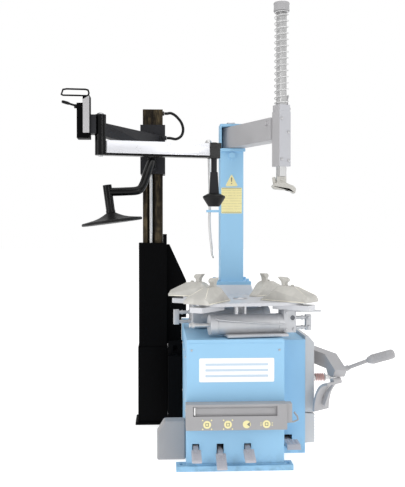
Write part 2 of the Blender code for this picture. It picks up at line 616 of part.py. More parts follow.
def make_shaft(axis, shaft, square):
    slide = joint_axis("shaft_slide_axis", shaft + Vector((0, 0, SHAFT_HIGH)))
    slide.parent = axis
    slide.matrix_parent_inverse = axis.matrix_world.inverted()
    finish(square(SHAFT_SIDE, SHAFT_LOW, SHAFT_HIGH), "mount_shaft", "bright_steel", slide)
    low = SHAFT_HIGH + GAP
    cap = turned([(0, 2.143), (0.034, 2.143), (0.0385, 2.138), (0.0385, low), (0, low)], shaft)
    finish(cap, "shaft_cap", "grey_plastic", slide)
    rings = 9
    count = SPRING_TURNS * rings + 1
    radius, wire = 0.0325, 0.0025
    bottom, top = SPRING_LOW + wire + GAP, SHAFT_HIGH - wire - GAP
    coil = []
    for step in range(count):
        angle = 2 * math.pi * step / rings
        coil.append((shaft.x + radius * math.cos(angle), shaft.y + radius * math.sin(angle),
                     bottom + (top - bottom) * step / (count - 1)))
    finish(tube(coil, wire), "return_spring", "bright_steel", axis)
    make_head(slide, shaft)


def make_head(slide, shaft):
    """The duck-bill head: a foot round the shaft's end, a shaped bill and a hooked finger."""
    y = shaft.y
    foot = block((shaft.x - 0.024, y - 0.022, 1.268), (shaft.x + 0.022, y + 0.022, SHAFT_LOW - GAP))
    bill = [(0.156, 1.262), (0.168, 1.248), (0.214, 1.244), (0.236, 1.246), (0.262, 1.226), (0.270, 1.230),
            (0.274, 1.250), (0.262, 1.264), (0.240, 1.272), (0.222, 1.282), (0.190, 1.284), (0.170, 1.276)]
    horn = rod((0.176, y, 1.270), (0.166, y - 0.006, 1.308), 0.011, 0.008)
    finish(join(plate(bill, 0.046, (0, y - 0.004, 0), "Y"), foot, horn), "mount_head", "alloy", slide)


def make_tire_lever():
    """A long lever with a ball at its top. Returns the bracket on the column that it hangs in."""
    y = 0.452
    route = smooth_path([(-0.123, y, 1.505), (-0.119, y, 1.36), (-0.116, y, 1.20), (-0.118, y, 1.10),
                         (-0.113, y, 1.02), (-0.107, y, 0.960), (-0.105, y, 0.925), (-0.096, y, 0.902)], 22)
    ball = bmesh.new()
    bmesh.ops.create_uvsphere(ball, u_segments=16, v_segments=10, radius=0.0175)
    bmesh.ops.translate(ball, verts=ball.verts, vec=(-0.123, y, 1.512))
    finish(join(tube(route, 0.0065), from_bmesh(ball)), "tire_lever", "bright_steel")
    left = -COLUMN_SIDE / 2
    bracket = block((-0.134, y - 0.015, 1.146), (left + 0.002, y + 0.015, 1.158))
    stand = block((left - 0.006, y - 0.015, 1.130), (left + 0.001, y + 0.015, 1.175))
    return cut(join(bracket, stand), rod((-0.1168, y, 1.10), (-0.1168, y, 1.20), 0.0090))


# ---------------------------------------------------------------- helper arm
def make_tower():
    lower = join(block((-0.498, 0.550, 0), (-0.338, 0.710, 0.420)),
                 block((-0.512, 0.536, 0), (-0.330, 0.724, 0.014)))
    half = POST_SIDE / 2 + GAP
    well = block((POST_X - half, POST_Y - half, 0.030), (POST_X + half, POST_Y + half, 0.60))
    cover_well = block((POST_X - half, 0.556, 0.30), (POST_X + half, 0.62, 0.60))
    finish(cut(lower, well, cover_well), "tower_lower", "black_paint")
    upper = block((-0.4935, 0.5555, 0.4203), (-0.3425, 0.7045, 0.983))
    channel = block((POST_X - half, POST_Y - half, 0.30), (POST_X + half, POST_Y + half, 1.10))
    rod_bore = rod((-0.428, 0.5745, 0.36), (-0.428, 0.5745, 1.10), 0.0096)
    collar = join(block((POST_X + half + GAP, POST_Y - POST_SIDE / 2, 0.982),
                        (-0.3425, POST_Y + 0.05, 1.030)),
                  block((-0.360, 0.5555, 0.982), (-0.3425, 0.7045, 1.030)))
    finish(cut(join(upper, collar), channel, rod_bore), "tower_upper", "black_paint")


def make_bracket():
    """Ties the tower to the cabinet: a box low down, a notched plate and a tall gusset."""
    left, right = -0.3377, CABINET_LEFT - GAP
    box = cut(block((left, 0.36, 0.06), (right, 0.68, 0.40)),
              block((left + 0.006, 0.366, 0.0), (right - 0.006, 0.674, 0.394)))
    notched = [(left, 0.39), (right, 0.39), (right, 0.476), (left, 0.470)]
    window = [(-0.316, 0.402), (-0.284, 0.402), (-0.291, 0.448), (-0.309, 0.448)]
    front = cut(plate(notched, 0.010, (0, 0.412, 0), "Y"), plate(window, 0.04, (0, 0.412, 0), "Y"))
    gusset = [(-0.3422, 0.975), (-0.328, 0.975), (-0.236, 0.776), (-0.236, 0.574), (right, 0.574),
              (right, 0.39), (left, 0.39), (left, 0.43), (-0.3422, 0.43)]
    finish(join(box, front, plate(gusset, 0.012, (0, 0.606, 0), "Y")), "tower_bracket", "black_paint")


def make_post():
    half = POST_SIDE / 2
    post = block((POST_X - half, POST_Y - half, 0.0305), (POST_X + half, POST_Y + half, POST_TOP))
    groove = block((-0.448, POST_Y - half - 0.02, 0.29), (-0.408, POST_Y - half + 0.016, 1.42))
    inner = half - 0.008
    room = block((POST_X - inner, POST_Y - inner, 0.0), (POST_X + inner, POST_Y + inner, 1.69))
    stub = rod((POST_X + half - 0.002, 0.620, 1.690), (POST_X + half + 0.008, 0.620, 1.690), 0.012)
    finish(join(cut(post, groove, room), stub), "helper_post", "oily_steel")


def make_carriage():
    slide = joint_axis("carriage_axis", (POST_X, POST_Y, CARRIAGE_LOW))
    half = POST_SIDE / 2 + 0.0009
    body = block((-0.485, 0.555, CARRIAGE_LOW), (-0.351, 0.700, CARRIAGE_HIGH))
    hole = block((POST_X - half, POST_Y - half, 1.2), (POST_X + half, POST_Y + half, 1.8))
    bolt = rod((-0.425, 0.557, 1.575), (-0.425, 0.547, 1.575), 0.010, sides=6)
    socket = rod((-0.353, 0.620, 1.556), (-0.343, 0.620, 1.556), 0.012)
    ears = [block((-0.448, 0.500, z), (-0.398, 0.558, z + 0.014)) for z in (1.372, 1.440)]
    pin = rod((-0.423, 0.520, 1.365), (-0.423, 0.520, 1.460), 0.008)
    finish(join(cut(body, hole), bolt, socket, *ears, pin), "carriage", "black_paint", slide)
    lift_rod = rod((-0.428, 0.5745, 0.625), (-0.428, 0.5745, CARRIAGE_LOW - GAP), 0.0085)
    finish(lift_rod, "lift_rod", "bright_steel", slide)
    make_tapered_arm(slide)
    make_beam(slide)
    make_disc_arm(slide)


def make_tapered_arm(slide):
    """From the carriage's front to the elbow, deeper at its root, with the elbow's upper barrel."""
    root = Vector((-0.392, 0.553, 0))
    along = (HINGE - root).normalized()
    reach = (HINGE - root).length
    turn = math.atan2(along.y, along.x)
    side = [(0.020, 1.470), (reach, 1.492), (reach, 1.553), (0.020, 1.560)]
    arm = plate(side, 0.046, root, "Y", turn)
    flange = block((-0.462, 0.537, 1.468), (-0.352, 0.5547, 1.562))
    barrel = rod(HINGE + Vector((0, 0, 1.4895)), HINGE + Vector((0, 0, 1.592)), 0.0265)
    ledge = block((-0.702, -0.022, 1.500), (-0.674, 0.050, 1.588))
    bore = rod(HINGE + Vector((0, 0, 1.3)), HINGE + Vector((0, 0, 1.7)), 0.0103)
    finish(cut(join(arm, flange, barrel, ledge), bore), "tapered_arm", "black_paint", slide)
    pin = turned([(0, 1.602), (0.006, 1.602), (0.006, 1.5985), (0.015, 1.5985), (0.015, 1.5925),
                  (0.010, 1.5925), (0.010, 1.396), (0, 1.396)], HINGE)
    finish(pin, "elbow_pin", "bright_steel", slide)
    handle = join(block((-0.760, -0.030, 1.478), (-0.7023, 0.050, 1.498)),
                  block((-0.732, -0.030, 1.478), (-0.7023, 0.050, 1.512)),
                  block((-0.762, -0.030, 1.478), (-0.734, 0.050, 1.640),
                        taper=(-0.762, -0.734, -0.030, 0.040)),
                  block((-0.7345, -0.030, 1.500), (-0.7030, 0.050, 1.676)))
    loop = [(-0.712, -0.020, 1.672), (-0.705, -0.030, 1.684), (-0.705, -0.075, 1.690),
            (-0.716, -0.088, 1.691), (-0.800, -0.090, 1.692), (-0.818, -0.080, 1.691),
            (-0.838, 0.020, 1.686), (-0.832, 0.036, 1.685), (-0.760, 0.034, 1.684),
            (-0.726, 0.030, 1.682), (-0.722, 0.028, 1.672)]
    finish(join(handle, tube(loop, 0.004)), "handle_bracket", "black_paint", slide)
    lever_axis = joint_axis("control_lever_axis", (-0.770, 0.0, 1.628))
    lever_axis.parent = slide
    lever_axis.matrix_parent_inverse = slide.matrix_world.inverted()
    lever = join(rod((-0.7645, 0.0, 1.628), (-0.776, 0.0, 1.628), 0.010),
                 rod((-0.774, 0.0, 1.632), (-0.800, 0.0, 1.640), 0.005),
                 rod((-0.798, 0.0, 1.640), (-0.834, 0.0, 1.650), 0.0075))
    finish(lever, "control_lever", "black_paint", lever_axis)


def make_beam(slide):
    elbow = joint_axis("beam_axis", HINGE + Vector((0, 0, 1.45)))
    elbow.parent = slide
    elbow.matrix_parent_inverse = slide.matrix_world.inverted()
    along = (PRESS - HINGE).normalized()
    reach = (PRESS - HINGE).length
    turn = math.atan2(along.y, along.x)
    bar = block((0.0275, -0.022, 1.412), (reach - 0.026, 0.022, 1.472))
    bar.data.transform(Matrix.Translation(HINGE) @ Matrix.Rotation(turn, 4, "Z"))
    finish(bar, "beam", "silver_beam", elbow)
    barrel = rod(HINGE + Vector((0, 0, 1.402)), HINGE + Vector((0, 0, 1.4885)), 0.0258)
    strip = block((0.010, -0.024, 1.402), (reach - 0.010, 0.024, 1.4117))
    bore = rod(HINGE + Vector((0, 0, 1.3)), HINGE + Vector((0, 0, 1.7)), 0.0103)
    clamp = block((reach - 0.0257, -0.026, 1.400), (reach + 0.024, 0.026, 1.475))
    latch = block((reach + 0.020, -0.008, 1.450), (reach + 0.036, 0.008, 1.4765))
    for item in (strip, clamp, latch):
        item.data.transform(Matrix.Translation(HINGE) @ Matrix.Rotation(turn, 4, "Z"))
    hole = rod(PRESS + Vector((0, 0, 1.3)), PRESS + Vector((0, 0, 1.6)), 0.0148)
    finish(cut(join(barrel, strip, clamp, latch), bore, hole), "beam_carrier", "black_paint", elbow)
    make_press(elbow)


def make_press(elbow):
    slide = joint_axis("press_axis", PRESS + Vector((0, 0, 1.40)))
    slide.parent = elbow
    slide.matrix_parent_inverse = elbow.matrix_world.inverted()
    stem = rod(PRESS + Vector((0, 0, 1.300)), PRESS + Vector((0, 0, 1.478)), 0.0143)
    nose = rod(PRESS + Vector((0, 0, 1.180)), PRESS + Vector((0, 0, 1.240)), 0.010)
    shank = block((PRESS.x - 0.023, PRESS.y - 0.021, 1.2300), (PRESS.x + 0.023, PRESS.y + 0.021, 1.334),
                  taper=(PRESS.x - 0.017, PRESS.x + 0.017, PRESS.y - 0.017, PRESS.y + 0.017))
    finish(join(shank, stem, nose), "press_rod", "black_paint", slide)
    cone = turned([(0, 1.2297), (0.030, 1.2297), (0.0545, 1.2160), (0.0545, 1.2100), (0.029, 1.1670),
                   (0, 1.1670)], PRESS)
    well = rod(PRESS + Vector((0, 0, 1.1795)), PRESS + Vector((0, 0, 1.30)), 0.0103)
    finish(cut(cone, well), "press_cone", "black_rubber", slide)


def make_disc_arm(slide):
    """A bent tube hung from the carriage, with a sleeve and a dished disc that turns on it."""
    axis = joint_axis("disc_arm_axis", (-0.423, 0.520, 1.42))
    axis.parent = slide
    axis.matrix_parent_inverse = slide.matrix_world.inverted()
    route = smooth_path([(-0.423, 0.500, 1.418), (-0.430, 0.455, 1.400), (-0.447, 0.405, 1.345),
                         (-0.466, 0.372, 1.285), (-0.492, 0.352, 1.256), (-0.560, 0.338, 1.249),
                         (-0.640, 0.330, 1.246)], 24)
    knuckle = rod((-0.423, 0.520, 1.3865), (-0.423, 0.520, 1.4395), 0.024)
    bore = rod((-0.423, 0.520, 1.30), (-0.423, 0.520, 1.50), 0.0083)
    top, bottom = Vector((-0.648, 0.330, 1.282)), Vector((-0.629, 0.330, 1.140))
    lean = (bottom - top).normalized()
    sleeve = rod(top, bottom, 0.0225)
    stub = rod(bottom - lean * 0.01, bottom + lean * 0.030, 0.010)
    arm = join(knuckle, tube(route, 0.0215, 3), sleeve, stub)
    finish(cut(arm, bore), "disc_arm", "black_paint", axis)
    spin = joint_axis("disc_axis", bottom)
    spin.parent = axis
    spin.matrix_parent_inverse = axis.matrix_world.inverted()
    stand = Matrix.Translation(bottom) @ (-lean).to_track_quat("Z", "Y").to_matrix().to_4x4()
    profile = [(0, -GAP), (0.024, -GAP), (0.050, -0.016), (0.090, -0.030), (0.150, -0.038), (0.155, -0.042),
               (0.155, -0.050), (0.146, -0.053), (0, -0.044)]
    well = rod(bottom - lean * 0.02, bottom + lean * 0.031, 0.0103)
    finish(cut(turned(profile, None, 40, stand), well), "bead_disc", "black_rubber", spin)


HOSE = [(-0.3550, 0.620, 1.690), (-0.340, 0.620, 1.690), (-0.318, 0.622, 1.692), (-0.290, 0.626, 1.676),
        (-0.262, 0.630, 1.642), (-0.252, 0.632, 1.604), (-0.262, 0.630, 1.570), (-0.290, 0.626, 1.552),
        (-0.322, 0.620, 1.5555), (-0.3420, 0.620, 1.556)]


def make_air_hose():
    finish(tube(smooth_path(HOSE, 30), 0.0075), "air_hose", "black_rubber")


clear_scene()
PARTS = make_collection("tyre_changer")
CUTTERS = make_collection("cutters")
MATERIALS = {name: make_material(name) for name in COLOURS}
make_base_plate()
make_cabinet()
make_pedestal()
make_console()
make_side_parts()
make_drive()
make_turntable()
make_pedals()
make_breaker()
make_column(make_tire_lever())
make_swing_arm()
make_tower()
make_bracket()
make_post()
make_carriage()
make_air_hose()
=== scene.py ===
"""Tyre changer with a helper arm: the finished surfaces of every part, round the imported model.

Metres, +Z up, +Y to the rear, with the origin on the floor under the turntable's axis.
"""
import json
import math

import bmesh
import bpy
import numpy as np
from mathutils import Matrix, Vector


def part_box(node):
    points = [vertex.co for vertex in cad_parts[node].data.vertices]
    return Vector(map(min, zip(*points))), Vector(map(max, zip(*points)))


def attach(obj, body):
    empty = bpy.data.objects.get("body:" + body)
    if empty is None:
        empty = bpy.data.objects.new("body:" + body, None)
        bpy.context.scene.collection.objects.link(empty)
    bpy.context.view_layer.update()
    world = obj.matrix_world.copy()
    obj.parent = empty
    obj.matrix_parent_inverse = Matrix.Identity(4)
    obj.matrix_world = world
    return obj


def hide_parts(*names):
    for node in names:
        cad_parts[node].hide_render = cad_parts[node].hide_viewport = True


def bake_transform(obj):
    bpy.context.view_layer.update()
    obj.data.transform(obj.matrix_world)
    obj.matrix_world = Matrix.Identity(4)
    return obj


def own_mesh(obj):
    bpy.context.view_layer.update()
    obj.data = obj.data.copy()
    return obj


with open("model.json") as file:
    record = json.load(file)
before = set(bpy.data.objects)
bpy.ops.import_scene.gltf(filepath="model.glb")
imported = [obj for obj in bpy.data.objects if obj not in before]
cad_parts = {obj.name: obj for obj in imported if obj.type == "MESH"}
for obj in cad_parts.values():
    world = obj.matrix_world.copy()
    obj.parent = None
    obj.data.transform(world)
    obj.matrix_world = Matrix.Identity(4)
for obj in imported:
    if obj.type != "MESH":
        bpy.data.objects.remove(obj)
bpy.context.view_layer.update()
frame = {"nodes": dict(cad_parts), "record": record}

BODY_OF = {node: body for body, nodes in frame["record"]["behaviour"]["bodies"].items() for node in nodes}
MM = 0.001


def centre(node):
    """The middle of a made part's box, as an array."""
    low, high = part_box(node)
    return (np.array(low) + np.array(high)) / 2


# ---------------------------------------------------------------- shader tools
class Wire:
    """A value in a material's nodes. Arithmetic on it adds the Math nodes."""

    def __init__(self, tree, socket):
        self.tree, self.socket = tree, socket

    def maths(self, operation, *values):
        node = self.tree.nodes.new("ShaderNodeMath")
        node.operation = operation
        for place, value in zip(node.inputs, values):
            if isinstance(value, Wire):
                self.tree.links.new(value.socket, place)
            else:
                place.default_value = value
        return Wire(self.tree, node.outputs[0])

    def __add__(self, other):
        return self.maths("ADD", self, other)

    def __sub__(self, other):
        return self.maths("SUBTRACT", self, other)

    def __rsub__(self, other):
        return self.maths("SUBTRACT", other, self)

    def __mul__(self, other):
        return self.maths("MULTIPLY", self, other)

    def __gt__(self, other):
        return self.maths("GREATER_THAN", self, other)

    def __lt__(self, other):
        return self.maths("LESS_THAN", self, other)

    __radd__, __rmul__ = __add__, __mul__


class Finish:
    """A material being made: a Principled shader, and one method for any node behind it."""

    def __init__(self, name, colour, roughness, metallic=0.0, **steady):
        self.name = name
        self.material = bpy.data.materials.new(name)
        self.material.use_nodes = True
        self.tree = self.material.node_tree
        self.shader = self.tree.nodes["Principled BSDF"]
        self.colour = np.array(colour, float)
        self.set("Base Color", (*colour, 1.0))
        self.set("Roughness", roughness)
        self.set("Metallic", metallic)
        for socket, value in steady.items():
            self.set(socket.replace("_", " "), value)

    def set(self, socket, value):
        if isinstance(value, Wire):
            self.tree.links.new(value.socket, self.shader.inputs[socket])
        else:
            self.shader.inputs[socket].default_value = value

    def node(self, kind, settings=None, inputs=None, output=0):
        """A node of that kind: first its settings, then its sockets' values or links."""
        node = self.tree.nodes.new("ShaderNode" + kind)
        for key, value in (settings or {}).items():
            setattr(node, key, value)
        for key, value in (inputs or {}).items():
            if isinstance(value, Wire):
                self.tree.links.new(value.socket, node.inputs[key])
            else:
                node.inputs[key].default_value = value
        return Wire(self.tree, node.outputs[output])

    def place(self, scale=(1, 1, 1)):
        """Object coordinates, stretched by scale."""
        spot = self.node("TexCoord", output=3)
        return self.node("Mapping", inputs={"Vector": spot, "Scale": scale})

    def height(self):
        """How high a point is above the floor."""
        return self.node("SeparateXYZ", inputs={0: self.node("TexCoord", output=3)}, output=2)

    def noise(self, scale, detail=2.0, stretch=(1, 1, 1), rough=0.5):
        return self.node("TexNoise", inputs={"Vector": self.place(stretch), "Scale": scale, "Detail": detail,
                                             "Roughness": rough})

    def cells(self, scale):
        return self.node("TexVoronoi", {"feature": "F1"}, {"Vector": self.place(), "Scale": scale})

    def step(self, value, low, high):
        """0 below low, 1 above high, and a smooth rise between them."""
        return self.node("MapRange", {"interpolation_type": "SMOOTHSTEP"},
                         {"Value": value, "From Min": low, "From Max": high})

    def mix(self, share, first, second):
        return self.node("Mix", {"data_type": "RGBA"}, {0: share, 6: first, 7: second}, output=2)

    def tone(self, factor):
        """This finish's colour, made lighter or darker."""
        return (*np.clip(self.colour * factor, 0, 1), 1.0)

    def bump(self, value, height, strength=1.0):
        relief = self.node("Bump", inputs={"Height": value, "Distance": height, "Strength": strength})
        self.set("Normal", relief)


def seen(red, green, blue):
    """A screen colour of 0 to 255 as the shader's linear values."""
    share = np.array([red, green, blue]) / 255
    return np.where(share > 0.04045, ((share + 0.055) / 1.055) ** 2.4, share / 12.92)


# ---------------------------------------------------------------- finishes
def powder_coat(name, colour, roughness=0.42, mottle=0.03, peel=0.25, grime=0.0, **steady):
    """Sprayed and baked paint: orange peel, faint clouds in the colour and grime near the floor."""
    coat = Finish(name, colour, roughness, **steady)
    cloud = coat.noise(6.0, 4.0)
    shade = coat.mix(cloud, coat.tone(1 - mottle), coat.tone(1 + mottle))
    if grime:
        near_floor = 1 - coat.step(coat.height(), 0.0, 0.10)
        dirt = near_floor * coat.step(coat.noise(30.0, 5.0), 0.35, 0.75) * grime
        shade = coat.mix(dirt, shade, coat.tone(0.45))
    coat.set("Base Color", shade)
    coat.set("Roughness", roughness + (coat.noise(24.0, 3.0) - 0.5) * 0.16)
    coat.bump(coat.noise(420.0, 2.0), 0.25 * MM, peel)
    return coat


def moulded(name, colour, roughness=0.55, grain=700.0, depth=0.12, dust=0.25, **steady):
    """Moulded plastic or rubber: a fine leathery grain, with pale dust in patches."""
    shell = Finish(name, colour, roughness, **steady)
    patches = shell.step(shell.noise(9.0, 6.0, rough=0.6), 0.45, 0.75)
    shell.set("Base Color", shell.mix(patches * dust, shell.tone(0.95), shell.tone(1.25)))
    shell.set("Roughness", roughness + patches * 0.12)
    shell.bump(shell.cells(grain), depth * MM, 0.5)
    return shell


def drawn_steel(name, colour, roughness, stretch, metallic=0.85, scale=90.0, streak=0.18, **steady):
    """Drawn or turned metal: fine lines along the stretched axis, with clouds of handling marks."""
    metal = Finish(name, colour, roughness, metallic, **steady)
    lines = metal.noise(scale, 3.0, stretch)
    marks = metal.noise(14.0, 5.0, rough=0.6)
    metal.set("Base Color", metal.mix(lines, metal.tone(1 - streak), metal.tone(1 + streak)))
    metal.set("Roughness", roughness + (marks - 0.5) * 0.25 + (lines - 0.5) * 0.1)
    metal.bump(lines, 0.06 * MM, 0.5)
    return metal


def casting(name, colour, roughness=0.5, metallic=0.4, worn=1.5, dull=0.86):
    """Cast or forged metal: a sandy skin, rubbed bright where a slow noise says so."""
    rough = Finish(name, colour, roughness, metallic)
    rubbed = rough.step(rough.noise(16.0, 5.0, rough=0.6), 0.42, 0.68)
    rough.set("Base Color", rough.mix(rubbed, rough.tone(dull), rough.tone(worn)))
    rough.set("Roughness", roughness + (0.5 - rubbed) * 0.2)
    rough.bump(rough.noise(260.0, 4.0), 0.5 * MM, 0.35)
    return rough


def oiled_steel(name):
    """Ground steel under a brown film of old grease, in streaks down the post."""
    film = Finish(name, seen(52, 42, 28), 0.38, 0.2, Specular_IOR_Level=0.2)
    streaks = film.step(film.noise(34.0, 6.0, (1, 1, 0.18), 0.65), 0.40, 0.72)
    blots = film.step(film.noise(28.0, 5.0), 0.45, 0.65)
    brown = film.mix(streaks, (*seen(20, 15, 9), 1.0), (*seen(92, 80, 58), 1.0))
    film.set("Base Color", film.mix(blots * 0.6, brown, (*seen(24, 18, 12), 1.0)))
    film.set("Roughness", 0.30 + streaks * 0.3)
    film.bump(streaks, 0.3 * MM, 0.4)
    return film


def printed(name, colour, roughness=0.45, stripe=None):
    """A printed foil: plain, or with rows of thin dark lines that repeat every stripe metres."""
    foil = Finish(name, colour, roughness, Coat_Weight=0.2)
    paper = foil.mix(foil.noise(40.0, 4.0), foil.tone(0.97), foil.tone(1.03))
    if stripe:
        rows = foil.height() * (1 / stripe)
        row = rows.maths("FRACT", rows)
        broken = foil.noise(160.0, 1.0, (1, 1, 0.2)) > 0.40
        paper = foil.mix((row < 0.28) * broken * 0.35, paper, foil.tone(0.55))
    foil.set("Base Color", paper)
    foil.bump(foil.noise(300.0, 2.0), 0.05 * MM, 0.2)
    return foil


UP, ACROSS = (1, 1, 0.03), (0.03, 1, 1)
BLUE = powder_coat("blue_paint", seen(151, 199, 232), 0.46, grime=0.45)
PALE = powder_coat("pale_paint", seen(224, 228, 234), 0.46)
# Grey paint of the arms; on the slide housing's left face the same grey is painted shade.
GREY = powder_coat("grey_paint", seen(174, 173, 175), 0.48, 0.06)
BLACK = powder_coat("black_paint", seen(4, 4, 5), 0.55, 0.2, Specular_IOR_Level=0.05)
GLOSS = powder_coat("gloss_black", seen(4, 4, 5), 0.24, 0.1, 0.10, Specular_IOR_Level=0.22)
SOOT = powder_coat("worn_black", seen(42, 42, 45), 0.45, 0.2, Specular_IOR_Level=0.12)
PLASTIC = moulded("grey_plastic", seen(166, 165, 167))
PEDAL = moulded("pedal_rubber", seen(184, 184, 192), 0.62, 900.0)
RUBBER = moulded("rubber", seen(208, 208, 209), 0.75, 500.0, 0.2)
BLACK_RUBBER = moulded("black_rubber", seen(24, 24, 25), 0.42, 600.0, 0.1, 0.4, Specular_IOR_Level=0.20)
STEEL = drawn_steel("bright_steel", seen(205, 205, 205), 0.34, UP, 0.7)
TURNED = drawn_steel("turned_steel", seen(196, 196, 198), 0.32, ACROSS, 0.7)
ALLOY = drawn_steel("alloy", seen(192, 193, 196), 0.38, (1, 1, 0.2), 0.30, 60.0, 0.06)
PLATE = drawn_steel("turntable_paint", seen(202, 203, 207), 0.40, (1, 0.12, 1), 0.15, 70.0, 0.05)
HOUSING = powder_coat("housing_paint", seen(184, 185, 190), 0.40, 0.05)
JAW = casting("cast_jaw", seen(190, 188, 182), 0.42, 0.10, 1.05, 0.94)
# Pale cream for the rods on the jaws' edges: painted highlights.
JAW_EDGE_HIGHLIGHT = casting("painted_edge_highlight", seen(236, 232, 218), 0.38, 0.15, 1.05)
IRON = casting("cast_iron", seen(110, 112, 114), 0.6, 0.3)
OILED = oiled_steel("oily_steel")
BEAM = drawn_steel("silver_beam", seen(232, 233, 238), 0.30, ACROSS, 0.5, 120.0, 0.05)
SPRING_RED = powder_coat("red_spring", seen(222, 182, 178), 0.5)
# Mid grey for the dark disc in the clamp bracket's boss: painted shade standing for the bore.
BORE_SHADE = powder_coat("painted_bore_shade", seen(96, 98, 104), 0.7)
# White of the front badge, and of the painted highlight on the tray's left wall.
WHITE_LABEL_AND_HIGHLIGHT = printed("white_label_and_highlight", seen(250, 250, 250))
YELLOW_LABEL = printed("yellow_label", seen(240, 230, 168), stripe=0.014)
YELLOW_PLAIN = printed("yellow_print", seen(238, 228, 170))
INK = printed("dark_print", seen(120, 120, 112))
BADGE_BAR = printed("badge_bar", seen(196, 214, 230))


# ---------------------------------------------------------------- shape tools
# A shape is a pair: an array of points, and a list of faces. Closed shapes face outwards.
def skin(rings):
    """Quads between neighbouring rings of points, with a flat face over each end."""
    count, around = rings.shape[:2]
    row = np.arange(count - 1)[:, None]
    step = np.arange(around)[None, :]
    ahead, up = (step + 1) % around, row + 1
    quads = np.stack([row * around + step, row * around + ahead, up * around + ahead, up * around + step], -1)
    faces = quads.reshape(-1, 4).tolist()
    faces += [list(range(around))[::-1], list(range((count - 1) * around, count * around))]
    return rings.reshape(-1, 3), faces


def moved(shape, matrix):
    """The shape turned and shifted by a 4 by 4 matrix."""
    points, faces = shape
    matrix = np.array(matrix, float)
    return points @ matrix[:3, :3].T + matrix[:3, 3], faces


def shift(x, y, z):
    return Matrix.Translation((x, y, z))


def turn(angle, axis="Z"):
    return Matrix.Rotation(angle, 4, axis)


def stand(start, end):
    """The matrix that puts +Z along start to end, with the origin at start."""
    along = Vector(end) - Vector(start)
    return Matrix.Translation(start) @ along.to_track_quat("Z", "Y").to_matrix().to_4x4()


def together(*shapes):
    """Several shapes as one."""
    points, faces, first = [], [], 0
    for place, sides in shapes:
        points.append(place)
        faces += [[corner + first for corner in side] for side in sides]
        first += len(place)
    return np.concatenate(points), faces


def piece(name, shape, finish, body, node=None, also=(), sharp=32):
    """A finished piece on its body. node and also are the made parts that it stands for, and edges sharper
    than sharp degrees stay hard."""
    points, faces = shape
    mesh = bpy.data.meshes.new(name)
    mesh.from_pydata(points.tolist(), [], faces)
    form = bmesh.new()
    form.from_mesh(mesh)
    bmesh.ops.remove_doubles(form, verts=form.verts, dist=0.00001)
    bmesh.ops.dissolve_degenerate(form, edges=form.edges, dist=0.00001)
    bmesh.ops.recalc_face_normals(form, faces=form.faces)
    form.to_mesh(mesh)
    form.free()
    return settle(name, mesh, finish, body, node, also, sharp, 0.0)


def settle(name, mesh, finish, body, node, also, sharp, bevel, second=None):
    """Links a mesh with its finish, its rounded edges, its body and the made parts it stands for."""
    item = bpy.data.objects.new(name, mesh)
    bpy.context.scene.collection.objects.link(item)
    mesh.materials.append(finish.material)
    if second:
        mesh.materials.append(second[0].material)
        for face in mesh.polygons:
            face.material_index = int(second[1](face.center, face.normal))
    mesh.shade_smooth()
    mesh.set_sharp_from_angle(angle=math.radians(sharp))
    if bevel:
        edges = item.modifiers.new("edges", "BEVEL")
        edges.width, edges.segments = bevel, 3 if bevel > 0.0025 else 2
        edges.limit_method, edges.angle_limit = "ANGLE", math.radians(40)
        edges.harden_normals = True
    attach(item, body)
    if node:
        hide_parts(node, *also)
    return item


def rounded_copy(node, finish, bevel, second=None):
    """A made part with its triangles merged into whole faces and its edges rounded. second is a
    (finish, test) pair: a face whose middle and normal pass the test takes that finish."""
    form = bmesh.new()
    form.from_mesh(frame["nodes"][node].data)
    bmesh.ops.remove_doubles(form, verts=form.verts, dist=0.00002)
    bmesh.ops.dissolve_limit(form, angle_limit=math.radians(1.0), verts=form.verts, edges=form.edges)
    mesh = bpy.data.meshes.new(node + "_finished")
    form.to_mesh(mesh)
    form.free()
    return settle(node + "_finished", mesh, finish, BODY_OF[node], node, (), 35, bevel, second)


def lathe(profile, steps=48, matrix=None):
    """(radius, height) points turned about +Z: x = r cos a, y = r sin a."""
    profile = np.array(profile, float)
    angle = np.linspace(0, 2 * math.pi, steps, endpoint=False)
    ring = np.stack([np.cos(angle), np.sin(angle), 0 * angle], -1)
    rings = profile[:, :1, None] * ring[None] + profile[:, 1:, None] * np.array([0, 0, 1.0])
    shape = skin(rings)
    return moved(shape, matrix) if matrix is not None else shape


def rod(start, end, radius, edge=0.0008, steps=40):
    """A turned bar from start to end, with a quarter-round edge at each end."""
    length = (Vector(end) - Vector(start)).length
    bend = np.linspace(0, math.pi / 2, 4)
    low = [(radius - edge + edge * math.sin(a), edge - edge * math.cos(a)) for a in bend]
    profile = [(0, 0), *low, *[(r, length - z) for r, z in reversed(low)], (0, length)]
    return lathe(profile, steps, stand(start, end))


def frames(path):
    """Unit tangent, side and up vectors along a path, carried without twist."""
    path = np.asarray(path, float)
    tangent = np.gradient(path, axis=0)
    tangent /= np.linalg.norm(tangent, axis=1, keepdims=True)
    side = [Vector(tangent[0]).orthogonal().normalized()]
    for along in tangent[1:]:
        along = Vector(along)
        side.append((side[-1] - along * side[-1].dot(along)).normalized())
    side = np.array([list(v) for v in side])
    return path, tangent, side, np.cross(tangent, side)


def tube(path, radius, sides=16):
    """A round bar or hose along a path; radius may vary along it. The ends are bevelled."""
    path = np.asarray(path, float)
    radius = np.full(len(path), radius) if np.isscalar(radius) else np.asarray(radius, float)
    edge = min(radius[0], radius[-1]) * 0.3
    head, tail = path[1] - path[0], path[-2] - path[-1]
    path = np.concatenate([path[:1], path[:1] + head / np.linalg.norm(head) * edge, path[1:-1],
                           path[-1:] + tail / np.linalg.norm(tail) * edge, path[-1:]])
    radius = np.concatenate([radius[:1] - edge, radius, radius[-1:] - edge])
    path, _, side, up = frames(path)
    angle = np.linspace(0, 2 * math.pi, sides, endpoint=False)
    rings = (path[:, None] + radius[:, None, None] * (side[:, None] * np.cos(angle)[None, :, None]
                                                      + up[:, None] * np.sin(angle)[None, :, None]))
    return skin(rings)


